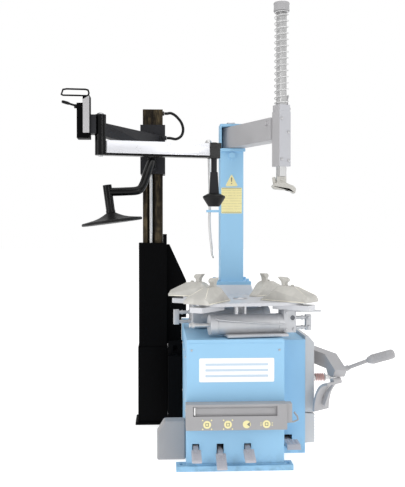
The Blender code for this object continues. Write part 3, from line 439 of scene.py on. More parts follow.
def smooth_path(points, count):
    """Points on a Catmull-Rom curve through the given ones."""
    points = np.array(points, float)
    ends = np.concatenate([points[:1], points, points[-1:]])
    where = np.linspace(0, len(points) - 1, count)
    part = np.minimum(where.astype(int), len(points) - 2)
    t = (where - part)[:, None]
    a, b, c, d = ends[part], ends[part + 1], ends[part + 2], ends[part + 3]
    square, cube = 2 * a - 5 * b + 4 * c - d, 3 * b - a - 3 * c + d
    return 0.5 * (2 * b + (c - a) * t + square * t ** 2 + cube * t ** 3)


def corners(outline, radius, steps=5):
    """The outline with each corner replaced by an arc of that radius, or of its own radius in a list."""
    outline = [np.array(p, float) for p in outline]
    radii = [radius] * len(outline) if np.isscalar(radius) else radius
    result = []
    for index, corner in enumerate(outline):
        before, after = outline[index - 1] - corner, outline[(index + 1) % len(outline)] - corner
        long_before, long_after = np.linalg.norm(before), np.linalg.norm(after)
        before, after = before / long_before, after / long_after
        half = math.acos(max(-1.0, min(1.0, float(before @ after)))) / 2
        reach = min(radii[index] / math.tan(half), long_before * 0.45, long_after * 0.45)
        if radii[index] < 1e-6 or reach < 1e-6:
            result.append(corner)
            continue
        middle = corner + (before + after) / np.linalg.norm(before + after) * reach / math.cos(half)
        first, last = corner + before * reach - middle, corner + after * reach - middle
        sweep = math.pi - 2 * half
        cross = first[0] * last[1] - first[1] * last[0]
        for step in np.linspace(0, sweep, steps) * (1 if cross > 0 else -1):
            c, s = math.cos(step), math.sin(step)
            result.append(middle + np.array([c * first[0] - s * first[1], s * first[0] + c * first[1]]))
    return np.array(result)


def prism(outline, low, high, edge=0.0015, across="Z", matrix=None, steps=4):
    """An outline carried from low to high. At both ends it shrinks along its own normals by a quarter
    circle of radius edge. Outlines across Z are (x, y), across Y (x, z) and across X (y, z)."""
    outline = np.array(outline, float)
    forward = np.roll(outline, -1, 0) - outline
    forward /= np.linalg.norm(forward, axis=1, keepdims=True)
    normal = np.stack([forward[:, 1], -forward[:, 0]], -1)
    area = np.sum(outline[:, 0] * np.roll(outline[:, 1], -1) - np.roll(outline[:, 0], -1) * outline[:, 1])
    normal *= 1 if area > 0 else -1
    miter = normal + np.roll(normal, 1, 0)
    miter /= np.maximum(np.sum(miter * normal, 1, keepdims=True), 0.3)
    bend = np.linspace(0, math.pi / 2, steps)
    inset = np.concatenate([edge - edge * np.sin(bend), edge - edge * np.sin(bend[::-1])])
    level = np.concatenate([low + edge - edge * np.cos(bend), high - edge + edge * np.cos(bend[::-1])])
    flat = outline[None] - miter[None] * inset[:, None, None]
    height = np.broadcast_to(level[:, None, None], (*flat.shape[:2], 1))
    order = {"Z": (0, 1, 2), "Y": (0, 2, 1), "X": (2, 0, 1)}[across]
    rings = np.concatenate([flat, height], -1)[..., order]
    shape = skin(rings)
    return moved(shape, matrix) if matrix is not None else shape


def box(low, high, corner=0.004, edge=0.0015, matrix=None, across="Z"):
    """A box between two corners, with rounded corners round one axis and rounded edges."""
    (x0, y0, z0), (x1, y1, z1) = low, high
    plan, span = {"Z": ((x0, y0, x1, y1), (z0, z1)), "Y": ((x0, z0, x1, z1), (y0, y1)),
                  "X": ((y0, z0, y1, z1), (x0, x1))}[across]
    a, b, c, d = plan
    return prism(corners([(a, b), (c, b), (c, d), (a, d)], corner), *span, edge, across, matrix)


def hexagon(matrix, width, height, washer=0.0):
    """A hexagon head that stands on z = 0 of the matrix: its top corners are turned down to a circle."""
    angle = np.linspace(0, 2 * math.pi, 36, endpoint=False)
    folded = (angle + math.pi / 6) % (math.pi / 3) - math.pi / 6
    six = width / 2 / np.cos(folded)
    direction = np.stack([np.cos(angle), np.sin(angle)], -1)
    rings = []
    for cap, level in ((2, washer), (2, washer + height * 0.80), (0.53, washer + height * 0.93),
                       (0.46, washer + height)):
        radius = np.minimum(six, cap * width)
        rings.append(np.concatenate([direction * radius[:, None], np.full((36, 1), level)], 1))
    head = moved(skin(np.array(rings)), matrix)
    if not washer:
        return head
    disc = lathe([(0, 0), (width * 0.72, 0), (width * 0.75, washer * 0.4), (width * 0.72, washer),
                  (0, washer)], 32)
    return together(moved(disc, matrix), head)


def screw_head(matrix, radius, height):
    """A low domed screw head with a hexagon socket, standing on z = 0 of the matrix."""
    dome = [(0, height * 0.35), (radius * 0.45, height * 0.35), (radius * 0.5, height),
            (radius * 0.75, height * 0.9), (radius * 0.95, height * 0.5), (radius, 0), (0, -height * 0.2)]
    return lathe(dome, 24, matrix)


def coil(radius, low, high, turns, per_turn):
    """A helix about +Z: the angle grows evenly and the height with it."""
    angle = np.linspace(0, 2 * math.pi * turns, turns * per_turn + 1)
    return np.stack([radius * np.cos(angle), radius * np.sin(angle), np.linspace(low, high, len(angle))], -1)


# ---------------------------------------------------------------- camera and air hose
def set_up_camera():
    """A camera at chest height, turned slightly and looking a little down."""
    data = bpy.data.cameras.new("camera")
    data.lens, data.clip_start, data.clip_end = 57.5, 0.05, 100.0
    camera = bpy.data.objects.new("camera", data)
    camera.location = (-0.370, -3.656, 1.05)
    camera.rotation_euler = (math.radians(90 - 0.96), 0, math.radians(-3.0))
    bpy.context.scene.collection.objects.link(camera)
    bpy.context.scene.camera = camera


HOSE = [(-0.3550, 0.620, 1.690), (-0.340, 0.620, 1.690), (-0.318, 0.622, 1.692), (-0.290, 0.626, 1.676),
        (-0.262, 0.630, 1.642), (-0.252, 0.632, 1.604), (-0.262, 0.630, 1.570), (-0.290, 0.626, 1.552),
        (-0.322, 0.620, 1.5555), (-0.3420, 0.620, 1.556)]
HOSE_RADIUS = 0.0075


def make_air_hose():
    """The hose from the post's top to the carriage, a round tube along one smooth curve."""
    path = smooth_path(HOSE, 90)
    points, faces = tube(path, HOSE_RADIUS, 20)
    mesh = bpy.data.meshes.new("air_hose_finished")
    mesh.from_pydata(points.tolist(), [], faces)
    mesh.materials.append(BLACK_RUBBER.material)
    mesh.shade_smooth()
    mesh.set_sharp_from_angle(angle=math.radians(50))
    hose = bpy.data.objects.new("air_hose_finished", mesh)
    bpy.context.scene.collection.objects.link(hose)
    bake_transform(hose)
    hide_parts("air_hose")


# ---------------------------------------------------------------- driving places
TABLE_TURN = math.radians(8.3)    # how far the turntable stands turned
JAW_RADIUS = 0.235                # a jaw's hook to the table's axis
PLATE_TOP = 0.728
JAW_FOOT = PLATE_TOP + 0.0003     # a jaw slides just clear of the plate
SHAFT, COLUMN = centre("mount_shaft"), centre("swing_pin")
HINGE, PRESS = centre("elbow_pin"), centre("press_cone")
ARM_TURN = math.atan2(SHAFT[1] - COLUMN[1], SHAFT[0] - COLUMN[0])
BEAM_TURN = math.atan2(PRESS[1] - HINGE[1], PRESS[0] - HINGE[0])
ON_SHAFT = shift(SHAFT[0], SHAFT[1], 0) @ turn(ARM_TURN)
ON_HINGE = shift(HINGE[0], HINGE[1], 0) @ turn(BEAM_TURN)


def at(place, height=0.0):
    """A point at that height on a vertical axis through place."""
    return (float(place[0]), float(place[1]), height)


# ---------------------------------------------------------------- plain structure
COPIES = (                        # node, finish, edge radius in millimetres
    ("base_plate", BLUE, 1.5), ("cabinet_body", BLUE, 2.8), ("rear_pedestal", PALE, 2.0),
    ("control_console", PLASTIC, 3.0), ("upper_side_pad", RUBBER, 3.0), ("lower_side_pad", RUBBER, 1.2),
    ("service_box", PLASTIC, 8.0), ("breaker_bracket", BLUE, 1.0), ("column", BLUE, 3.0),
    ("tower_lower", BLACK, 2.0), ("tower_upper", BLACK, 2.0), ("tower_bracket", BLACK, 1.5),
    ("helper_post", OILED, 2.5), ("turntable_plate", PLATE, 1.2), ("breaker_arm", GREY, 2.5),
    ("swing_arm", GREY, 3.0), ("carriage", SOOT, 2.0), ("handle_bracket", BLACK, 1.0),
    ("beam_carrier", GLOSS, 1.0), ("press_rod", SOOT, 1.0),
)


INSIDE = (                        # out of sight: these keep the made part's own shape
    ("gearbox", IRON), ("drive_motor", IRON), ("gearbox_pulley", IRON), ("motor_pulley", IRON),
    ("drive_belt", BLACK_RUBBER), ("breaker_cylinder", GREY),
)


def make_structure():
    """The plainer parts, as rounded copies. The housing's left face is a darker grey, as painted shade."""
    for node, finish, edge in COPIES:
        rounded_copy(node, finish, edge * MM)
    # The housing's left face takes the darker grey: painted shade on the face turned away from the light.
    rounded_copy("slide_housing", HOUSING, 2 * MM, (GREY, lambda middle, normal: normal.x < -0.7))
    for node, finish in INSIDE:
        made = frame["nodes"][node]
        made.data.materials.clear()
        made.data.materials.append(finish.material)


# ---------------------------------------------------------------- turntable
def make_turntable():
    """The spindle's turned end, two clamp cylinders half a turn apart and four jaws a quarter apart."""
    top = PLATE_TOP
    spindle = lathe([(0, 0.40), (0.030, 0.40), (0.030, top), (0.0335, top + 0.0005), (0.0335, top + 0.003),
                     (0.031, top + 0.006), (0.013, top + 0.006), (0.012, top + 0.001), (0, top + 0.001)], 64)
    piece("turntable_spindle_finished", spindle, TURNED, "turntable", "turntable_spindle")
    peg = rod((0.205, -0.137, 0.6825), (0.357, -0.137, 0.6825), 0.004)
    make_clamp_cylinder("front", turn(TABLE_TURN), peg)
    make_clamp_cylinder("rear", turn(TABLE_TURN + math.pi))
    for number, name in enumerate(("rear_right", "rear_left", "front_left", "front_right")):
        make_jaw("jaw_" + name, turn(TABLE_TURN + math.pi / 4 + number * math.pi / 2))


def jaw_section(half, high):
    """The jaw's cross-section as (y, z) points: upright at the foot, then leaning in to a narrow crest."""
    floor = JAW_FOOT
    slope = 0.845                 # how much half width is lost per metre of height
    top = min(half * 0.8, 0.078 - slope * (high - floor + 0.002))
    bend = min(floor + (0.076 - half) / slope, high - 0.004)
    outline = [(-half, floor), (half, floor), (half, bend), (top, high), (-top, high), (-half, bend)]
    return corners(outline, [0, 0, 0.003, 0.003, 0.003, 0.003], 5)


def make_jaw(name, place):
    """A wedge that widens and rises outwards, lofted through its sections, with a hooked claw on its crest
    and pale rods along its foot and its outer slope, which are painted highlights."""
    r, floor = JAW_RADIUS, JAW_FOOT
    stations = [(0.120, 0.7345), (0.1215, 0.7370), (0.160, 0.7570), (r - 0.030, 0.7930), (r - 0.018, 0.7985),
                (r - 0.008, 0.8000), (r + 0.050, 0.7965), (r + 0.060, 0.7955), (r + 0.067, 0.7920),
                (0.366, 0.7590), (0.370, 0.7550), (0.372, 0.7500)]
    rings = []
    for reach, high in stations:
        half = 0.016 + (reach - 0.10) / 0.28 * 0.052
        section = jaw_section(half, high)
        rings.append(np.column_stack([np.full(len(section), reach), section]))
    claw = [(r - 0.012, 0.785), (r + 0.020, 0.785), (r + 0.010, 0.804), (r + 0.012, 0.814),
            (r + 0.022, 0.820), (r + 0.022, 0.829), (r + 0.012, 0.8365), (r - 0.028, 0.839),
            (r - 0.026, 0.834), (r - 0.012, 0.818), (r - 0.009, 0.806)]
    claw = prism(corners(claw, [0, 0, 0.02, 0.006, 0.004, 0.004, 0.006, 0.001, 0.001, 0.008, 0.02], 6),
                 -0.013, 0.013, 0.0025, "Y")
    keel = box((0.200, -0.009, 0.700), (0.285, 0.009, 0.740), 0.002, 0.001)
    nut = hexagon(shift(r + 0.040, 0, 0.7965), 0.013, 0.006, 0.0015)
    body = together(skin(np.array(rings)), claw, keel, nut)
    piece(name + "_finished", moved(body, place), JAW, BODY_OF[name], name, sharp=38)
    # Pale rods along the foot and the outer slope: painted highlights on the jaw's edges.
    edges = []
    foot = floor + 0.0035
    for side in (-1, 1):
        edges.append(rod((0.128, side * 0.0205, foot), (0.366, side * 0.0650, foot), 0.0026))
        edges.append(rod((r + 0.062, side * 0.0150, 0.7945), (0.368, side * 0.0480, 0.7560), 0.0018))
    piece(name + "_edge_highlights", moved(together(*edges), place), JAW_EDGE_HIGHLIGHT, BODY_OF[name])


def make_clamp_cylinder(name, place, *extras):
    """The barrel between its end caps, with an air pipe, an end bracket whose bore is a dark disc of painted
    shade, a guard, a valve block and elbow fittings. The rod that slides in it is a piece of its own."""
    y, z = -0.165, 0.627
    along = shift(0, y, z) @ turn(math.pi / 2, "Y")
    barrel = lathe([(0, -0.185), (0.0440, -0.185), (0.047, -0.182), (0.047, -0.152), (0.0448, -0.149),
                    (0.0448, 0.128), (0.047, 0.131), (0.047, 0.162), (0.044, 0.165), (0, 0.165)], 72, along)
    bracket = box((0.150, y - 0.046, 0.590), (0.208, y + 0.046, 0.6917), 0.005, 0.002)
    boss = lathe([(0, 0), (0.0165, 0), (0.0165, 0.0022), (0.0155, 0.003), (0.0115, 0.003), (0.0108, 0.001),
                  (0, 0.001)], 40, stand((0.190, y - 0.0458, 0.657), (0.190, y - 0.10, 0.657)))
    sheet = box((-0.115, y - 0.074, 0.5765), (0.165, y + 0.030, 0.5880), 0.006, 0.0015)
    valve = box((0.266, y - 0.012, 0.594), (0.292, y + 0.012, 0.666), 0.003, 0.0015)
    pipe = tube(smooth_path([(-0.165, y - 0.034, z + 0.034), (-0.140, y - 0.046, z + 0.026),
                             (-0.02, y - 0.0485, z + 0.014), (0.110, y - 0.0500, z + 0.004),
                             (0.155, y - 0.0485, z + 0.002)], 50), 0.0034, 12)
    screws = [hexagon(stand((x, y - 0.0455, height), (x, y - 0.10, height)), 0.012, 0.006, 0.001)
              for x, height in ((0.162, 0.604), (0.196, 0.604), (0.162, 0.680))]
    fittings = []
    for height in (0.607, 0.652):
        fittings += [rod((0.200, y, height), (0.268, y, height), 0.0080),
                     hexagon(stand((0.208, y, height), (0.25, y, height)), 0.020, 0.012),
                     hexagon(stand((0.246, y, height), (0.28, y, height)), 0.018, 0.010),
                     hexagon(stand((0.279, y - 0.0115, height), (0.279, y - 0.1, height)), 0.016, 0.011)]
    name = "clamp_cylinder_" + name
    shapes = (barrel, bracket, boss, sheet, valve, pipe, *screws, *fittings)
    piece(name + "_finished", together(moved(together(*shapes), place), *extras), ALLOY, "turntable", name)
    # The bore is a thin dark disc in the boss's shallow recess: painted shade.
    bore_shade_disc = lathe([(0, 0), (0.0107, 0), (0.0107, 0.0004), (0, 0.0004)], 32,
                 stand((0.190, y - 0.0472, 0.657), (0.190, y - 0.10, 0.657)))
    piece(name + "_bore_shade", moved(bore_shade_disc, place), BORE_SHADE, "turntable")
    rod_name = name.replace("cylinder", "rod")
    shank = together(rod((-0.275, y, z), (-0.030, y, z), 0.0098, 0.0015),
                     hexagon(stand((-0.262, y, z), (-0.20, y, z)), 0.024, 0.010))
    piece(rod_name + "_finished", moved(shank, place), STEEL, BODY_OF[rod_name], rod_name)


# ---------------------------------------------------------------- pedals
PEDALS = (                        # name, x, half width, height where the pad starts, at its tip
    ("pedal_left", -0.222, 0.021, 0.098, 0.077), ("pedal_centre", -0.115, 0.022, 0.082, 0.046),
    ("pedal_right", 0.006, 0.023, 0.098, 0.076),
)
PEDAL_PIVOT = (-0.15, 0.100)


def tread(low, high, near, far, height, drop, rows):
    """Rows of small raised studs on a slope that falls by drop from far to near."""
    studs = []
    slope = math.atan2(drop, far - near)
    for row in range(rows):
        share = (row + 0.5) / rows
        for column in range(3):
            x = low + (high - low) * (column + 0.5) / 3
            spot = shift(x, near + (far - near) * share, height + drop * share) @ turn(slope, "X")
            studs.append(box((-0.0045, -0.0026, -0.001), (0.0045, 0.0026, 0.0018), 0.0015, 0.0008, spot))
    return studs


def make_pedals():
    """Narrow arms bent down to broad studded pads, each on its own pin inside the cabinet."""
    y, z = PEDAL_PIVOT
    for name, x, half, heel, tip in PEDALS:
        low = heel - 0.012
        arm = [(y, 0.113), (-0.262, heel + 0.010), (-0.320, heel + 0.002), (-0.330, low), (-0.262, low),
               (y, 0.087)]
        arm = prism(corners(arm, [0, 0.03, 0.004, 0.004, 0.02, 0], 5), x - 0.011, x + 0.011, 0.002, "X")
        pad = [(-0.308, heel + 0.004), (-0.308, low), (-0.385, tip - 0.012), (-0.398, tip - 0.009),
               (-0.402, tip - 0.001), (-0.396, tip + 0.003)]
        pad = corners(pad, [0.003, 0.002, 0.02, 0.004, 0.003, 0.004], 5)
        pad = prism(pad, x - half, x + half, 0.004, "X")
        studs = tread(x - half + 0.003, x + half - 0.003, -0.392, -0.312, tip + 0.0035, heel - tip, 7)
        eye = rod((x - 0.011, y, z), (x + 0.011, y, z), 0.014, 0.002)
        pin = rod((x - 0.030, y, z), (x + 0.030, y, z), 0.008)
        piece(name + "_finished", together(arm, pad, eye, pin, *studs), PEDAL, BODY_OF[name], name)
    rounded_copy("side_pedal", PEDAL, 2.5 * MM)
    studs = tread(0.191, 0.247, -0.218, -0.140, 0.0940, 0.0, 7)
    piece("side_pedal_tread", together(*studs), PEDAL, BODY_OF["side_pedal"])


# ---------------------------------------------------------------- bead breaker
def make_breaker():
    """The pull rod with its collars, pin and bush, the spring between them, the shovel and the grip."""
    low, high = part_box("breaker_rod")
    y, z = 0.20, 0.315
    pin = 0.3835                  # where the upright pin stands, along the rod
    parts = [rod((low.x, y, z), (0.490, y, z), 0.012, 0.002), rod((pin, y, 0.320), (pin, y, high.z), 0.009)]
    for x, width, radius in ((0.374, 0.019, 0.021), (0.4445, 0.004, 0.021), (0.472, 0.021, 0.0165)):
        parts.append(rod((x, y, z), (x + width, y, z), radius, min(0.002, width * 0.3)))
    piece("breaker_rod_finished", together(*parts), STEEL, BODY_OF["breaker_rod"], "breaker_rod")
    path = coil(0.0165, 0.0, 0.044, 5, 24)
    spring = moved(tube(path, 0.0028, 12), shift(0.3965, y, z) @ turn(math.pi / 2, "Y"))
    piece("breaker_spring_finished", spring, SPRING_RED, BODY_OF["breaker_spring"], "breaker_spring",
          sharp=50)
    make_blade()
    make_breaker_grip()


def make_blade():
    """A shovel bent forward at its top, with a rib on its front and the knuckle that it tilts on."""
    place = shift(0.374, -0.032, 0) @ turn(math.radians(-50))
    face = smooth_path([(0.0, 0.205), (0.002, 0.232), (0.007, 0.259), (0.0165, 0.291), (0.030, 0.317),
                        (0.047, 0.335), (0.066, 0.345), (0.088, 0.349)], 36)
    behind = smooth_path([(0.088, 0.337), (0.069, 0.334), (0.054, 0.325), (0.040, 0.309), (0.027, 0.286),
                          (0.018, 0.257), (0.0135, 0.231), (0.0115, 0.205)], 36)
    shovel = prism(np.concatenate([face, behind]), -0.055, 0.055, 0.0025, "Y")
    rib = prism([(0.012, 0.240), (0.040, 0.300), (0.066, 0.326), (0.080, 0.345), (0.080, 0.326),
                 (0.060, 0.296), (0.030, 0.225)], -0.005, 0.005, 0.001, "Y")
    knuckle = rod((0.078, -0.008, 0.352), (0.078, 0.048, 0.352), 0.0125, 0.002)
    shape = moved(together(shovel, rib, knuckle), place)
    piece("breaker_blade_finished", shape, GREY, BODY_OF["breaker_blade"], "breaker_blade", sharp=45)


def make_breaker_grip():
    """A bar with a fat moulded handle, ringed with grip grooves."""
    start, neck = np.array((0.502, -0.070, 0.409)), np.array((0.590, -0.100, 0.4485))
    collar, end = np.array((0.584, -0.098, 0.4460)), np.array((0.694, -0.150, 0.4870))
    away = (neck - start) / np.linalg.norm(neck - start)
    bar = rod(start + away * 0.0003, neck + away * 0.004, 0.0085, 0.001)
    length = float(np.linalg.norm(end - collar))
    grooves = [(0, 0), (0.012, 0), (0.0145, 0.003), (0.0215, 0.022), (0.0225, 0.030)]
    for row in range(7):
        level = 0.036 + row * 0.009
        grooves += [(0.0222, level), (0.0206, level + 0.0018), (0.0222, level + 0.0036)]
    grooves += [(0.0215, length - 0.012), (0.018, length - 0.003), (0.010, length), (0, length)]
    handle = lathe(grooves, 40, stand(collar, end))
    piece("breaker_grip_finished", together(bar, handle), PLASTIC, BODY_OF["breaker_grip"], "breaker_grip")


# ---------------------------------------------------------------- labels and small fittings
FOIL = 0.0006                     # how thick a printed foil is


def make_foils():
    """The printed foils: a blank badge with plain bars, two yellow warning shapes and four round signs."""
    front = -0.2701
    badge = prism(corners([(-0.207, 0.386), (0.123, 0.386), (0.123, 0.491), (-0.207, 0.491)], 0.006, 6),
                  front - 0.0007, front, 0.0002, "Y")
    piece("front_badge", badge, WHITE_LABEL_AND_HIGHLIGHT, "frame")
    bars = [box((-0.180, front - 0.0010, z), (0.096, front - FOIL, z + 0.010), 0.003, 0.0001, across="Y")
            for z in (0.408, 0.433, 0.458)]
    piece("front_badge_bars", together(*bars), BADGE_BAR, "frame")
    front = COLUMN[1] - 0.061
    triangle = corners([(-0.0360, 1.2830), (0.0325, 1.2830), (-0.0018, 1.3490)], 0.005, 6)
    sheet = [(-0.0560, 1.1400), (0.0530, 1.1400), (0.0530, 1.2760), (-0.0560, 1.2760)]
    piece("column_triangle", prism(triangle, front - FOIL, front, 0.0002, "Y"), YELLOW_PLAIN, "frame")
    notice = prism(corners(sheet, 0.004), front - FOIL, front, 0.0002, "Y")
    piece("column_notice", notice, YELLOW_LABEL, "frame")
    mark = [prism(corners([(-0.0040, 1.3060), (0.0004, 1.3060), (0.0016, 1.3290), (-0.0052, 1.3290)], 0.001),
                  front - 0.0009, front, 0.0001, "Y"), stud((-0.0018, front, 1.2975), 0.0030, 0.0009)]
    frame_bar = [box((x, front - 0.0009, z), (x + w, front, z + h), 0.0004, 0.0001, across="Y")
                 for x, z, w, h in ((-0.053, 1.2705, 0.103, 0.002), (-0.053, 1.1430, 0.103, 0.002))]
    piece("column_marks", together(*mark, *frame_bar), INK, "frame")
    make_round_signs()


def stud(place, radius, depth):
    """A thin disc on a face that looks towards the operator."""
    x, y, z = place
    return lathe([(0, 0), (radius, 0), (radius, depth * 0.8), (radius * 0.96, depth), (0, depth)], 40,
                 stand((x, y, z), (x, y - 1, z)))


def make_round_signs():
    """Four yellow signs under the tray, with plain arrangements of dots and bars. The first two are alike."""
    front, level = -0.3341, 0.2150
    signs, inks = [], []
    for number, x in enumerate((-0.176, -0.086, -0.005, 0.081)):
        signs.append(stud((x, front, level), 0.0170, FOIL))
        if number < 2:
            signs += [stud((x + side * 0.0190, front, level + rise * 0.0190), 0.0032, FOIL)
                      for side in (-1, 1) for rise in (-1, 1)]
        if number == 3:
            signs += [box((x + side * 0.0245 - 0.0030, front - FOIL, level + rise * 0.006 - 0.0012),
                          (x + side * 0.0245 + 0.0030, front, level + rise * 0.006 + 0.0012),
                          0.0005, 0.0001, across="Y")
                      for side in (-1, 1) for rise in (-1, 0, 1)]
        if number == 2:
            wedge = [(x + 0.001, level), (x + 0.0135, level + 0.0105), (x + 0.0135, level - 0.0105)]
            inks.append(prism(corners(wedge, 0.001), front - 0.0010, front, 0.0001, "Y"))
        else:
            inks += [box((x - 0.0070, front - 0.0010, level + rise - 0.0012),
                         (x + 0.0070, front, level + rise + 0.0012), 0.0005, 0.0001, across="Y")
                     for rise in (-0.006, 0.006)]
            inks += [box((x + side * 0.006 - 0.0012, front - 0.0010, level - 0.006),
                         (x + side * 0.006 + 0.0012, front, level + 0.006), 0.0005, 0.0001, across="Y")
                     for side in (-1, 1)]
    piece("round_signs", together(*signs), YELLOW_PLAIN, "frame")
    piece("round_sign_marks", together(*inks), INK, "frame")


def make_small_fittings():
    """Panels, seams, screws, edge plates, and a painted highlight on the tray's wall, fixed to the made
    parts.
    """
    left = -0.2623                # the cabinet's left face
    bead = tube([(-0.256, -0.2700, 0.556), (-0.04, -0.2700, 0.556), (0.162, -0.2700, 0.556)], 0.0016, 10)
    panel = box((left - 0.0015, -0.200, 0.225), (left, 0.300, 0.500), 0.012, 0.0006, across="X")
    piece("cabinet_panels", together(bead, panel), BLUE, "frame")
    inner = [box((-0.2355, -0.3225, 0.2506), (0.1275, -0.2826, 0.2914), 0.003, 0.001, across="Y"),
             box((-0.2250, -0.3240, 0.2580), (0.1180, -0.3220, 0.2840), 0.003, 0.0008, across="Y")]
    piece("tray_back", together(*inner), PLASTIC, "frame")
    # A thin white strip at the tray's left end: a painted highlight on the tray's left wall.
    wall_highlight = box((-0.2330, -0.3290, 0.2540), (-0.2260, -0.3225, 0.2880), 0.002, 0.001, across="Y")
    piece("tray_wall_highlight", wall_highlight, WHITE_LABEL_AND_HIGHLIGHT, "frame")
    screws = [screw_head(stand((left - 0.0014, y, z), (-1, y, z)), 0.0055, 0.0030)
              for y in (-0.180, 0.050, 0.280) for z in (0.242, 0.483)]
    screws += [screw_head(stand((0.3503, y, z), (1, y, z)), 0.0065, 0.0012) for y in (0.02, 0.24)
               for z in (0.268, 0.480)]
    screws += [screw_head(stand((x, -0.2704, 0.526), (x, -1, 0.526)), 0.0050, 0.0030)
               for x in (-0.240, 0.146)]
    piece("panel_screws", together(*screws), TURNED, "frame")
    face = prism(corners([(-0.7335, 1.502), (-0.7038, 1.502), (-0.7038, 1.6745), (-0.7335, 1.656)], 0.002),
                 -0.0322, -0.0290, 0.0008, "Y")
    piece("handle_face_plate", face, GREY, "carriage")
    along = Vector((math.cos(ARM_TURN), math.sin(ARM_TURN), 0))
    across = Vector((-along.y, along.x, 0))
    front = Vector(at(SHAFT)) + along * 0.0323
    bolts = []
    for side, z in ((0.0185, 1.520), (-0.0200, 1.585), (-0.0200, 1.390), (0.0185, 1.385)):
        spot = front + across * side + Vector((0, 0, z))
        bolts.append(hexagon(stand(spot, spot + along), 0.011, 0.005, 0.001))
    piece("housing_bolts", together(*bolts), TURNED, "swing_arm")


# ---------------------------------------------------------------- column, arm and mounting head
def make_mounting_side():
    """The turned cap of the swing pin, and what the swing arm and the column carry."""
    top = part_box("swing_pin")[1].z
    cap = [(0, 1.462), (0.016, 1.462), (0.016, top - 0.0136), (0.0235, top - 0.0136), (0.024, top - 0.012),
           (0.024, top - 0.005), (0.021, top - 0.001), (0.012, top), (0, top)]
    piece("swing_pin_finished", lathe(cap, 48, shift(*at(COLUMN))), TURNED, BODY_OF["swing_pin"], "swing_pin")
    make_shaft()
    make_return_spring()
    make_head()
    make_lock_lever()
    make_tire_lever()


def make_shaft():
    """The square mounting shaft, and the turned cap on its top."""
    low, high = (corner.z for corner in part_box("mount_shaft"))
    half = 0.019
    bar = box((-half, -half, low), (half, half, high), 0.0035, 0.002, ON_SHAFT)
    piece("mount_shaft_finished", bar, STEEL, BODY_OF["mount_shaft"], "mount_shaft")
    low, high = (corner.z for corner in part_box("shaft_cap"))
    profile = [(0, low), (0.0375, low), (0.0385, low + 0.001), (0.0385, low + 0.006), (0.0372, low + 0.008),
               (0.0372, high - 0.012), (0.0385, high - 0.010), (0.0385, high - 0.005), (0.036, high - 0.001),
               (0.031, high), (0.0125, high), (0.012, high - 0.002), (0, high - 0.002)]
    cap = lathe(profile, 64, shift(*at(SHAFT)))
    piece("shaft_cap_finished", cap, PLASTIC, BODY_OF["shaft_cap"], "shaft_cap")


def make_return_spring():
    """A helix with flat end turns, standing round the shaft on a mesh of its own."""
    low, high = (corner.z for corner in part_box("return_spring"))
    wire, radius, turns = 0.0025, 0.0325, 16
    per_turn = 24
    angle = np.linspace(0, 2 * math.pi * turns, turns * per_turn + 1)
    share = np.clip((angle / (2 * math.pi) - 0.75) / (turns - 1.5), 0, 1)
    flat = np.clip(angle / (2 * math.pi), 0, 0.75) + np.clip(angle / (2 * math.pi) - turns + 0.75, 0, 0.75)
    height = low + wire + flat * 2 * wire + share * (high - low - 2 * wire - 3 * wire)
    path = np.stack([radius * np.cos(angle), radius * np.sin(angle), height], -1)
    spring = piece("return_spring_finished", moved(tube(path, wire, 10), shift(*at(SHAFT))), STEEL,
                   BODY_OF["return_spring"], "return_spring", sharp=60)
    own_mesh(spring)


def make_head():
    """The duck-bill head: a clamp on the shaft's end, a bill with a rolled lip, a horn and a bolt."""
    x, y = SHAFT[0], SHAFT[1]
    clamp = box((x - 0.024, y - 0.022, 1.264), (x + 0.022, y + 0.022, 1.3085), 0.005, 0.002)
    bill = [(0.156, 1.262), (0.168, 1.248), (0.214, 1.244), (0.236, 1.246), (0.262, 1.226), (0.270, 1.230),
            (0.274, 1.250), (0.262, 1.264), (0.240, 1.272), (0.222, 1.282), (0.190, 1.284), (0.170, 1.276)]
    radii = [0.006, 0.02, 0.03, 0.02, 0.004, 0.004, 0.01, 0.01, 0.02, 0.02, 0.02, 0.02]
    bill = prism(corners(bill, radii, 6), y - 0.027, y + 0.019, 0.007, "Y", steps=6)
    horn = tube(smooth_path([(0.178, y, 1.268), (0.172, y - 0.002, 1.285), (0.167, y - 0.006, 1.306)], 14),
                np.linspace(0.0105, 0.0075, 14), 20)
    bolt = hexagon(stand((x, y - 0.0215, 1.2945), (x, y - 0.05, 1.2945)), 0.011, 0.005, 0.001)
    shape = together(clamp, bill, horn, bolt)
    piece("mount_head_finished", shape, JAW, BODY_OF["mount_head"], "mount_head", sharp=38)


def make_lock_lever():
    """A bent handle on a hub at the side of the shaft's housing."""
    along = np.array([math.cos(ARM_TURN), math.sin(ARM_TURN), 0])
    across = np.array([-along[1], along[0], 0])
    start = np.array(at(SHAFT, 1.636)) + across * 0.0310
    middle = start + across * 0.010
    route = [middle - along * back + np.array([0, 0, rise])
             for back, rise in ((0, 0), (0.010, 0.022), (0.012, 0.046), (0.004, 0.066))]
    path = smooth_path(route, 30)
    radius = 0.0045 + 0.0012 * np.clip((np.linspace(0, 1, 30) - 0.45) / 0.1, 0, 1)
    lever = together(rod(start, start + across * 0.016, 0.011, 0.002), tube(path, radius, 20))
    piece("lock_lever_finished", lever, GREY, BODY_OF["lock_lever"], "lock_lever")


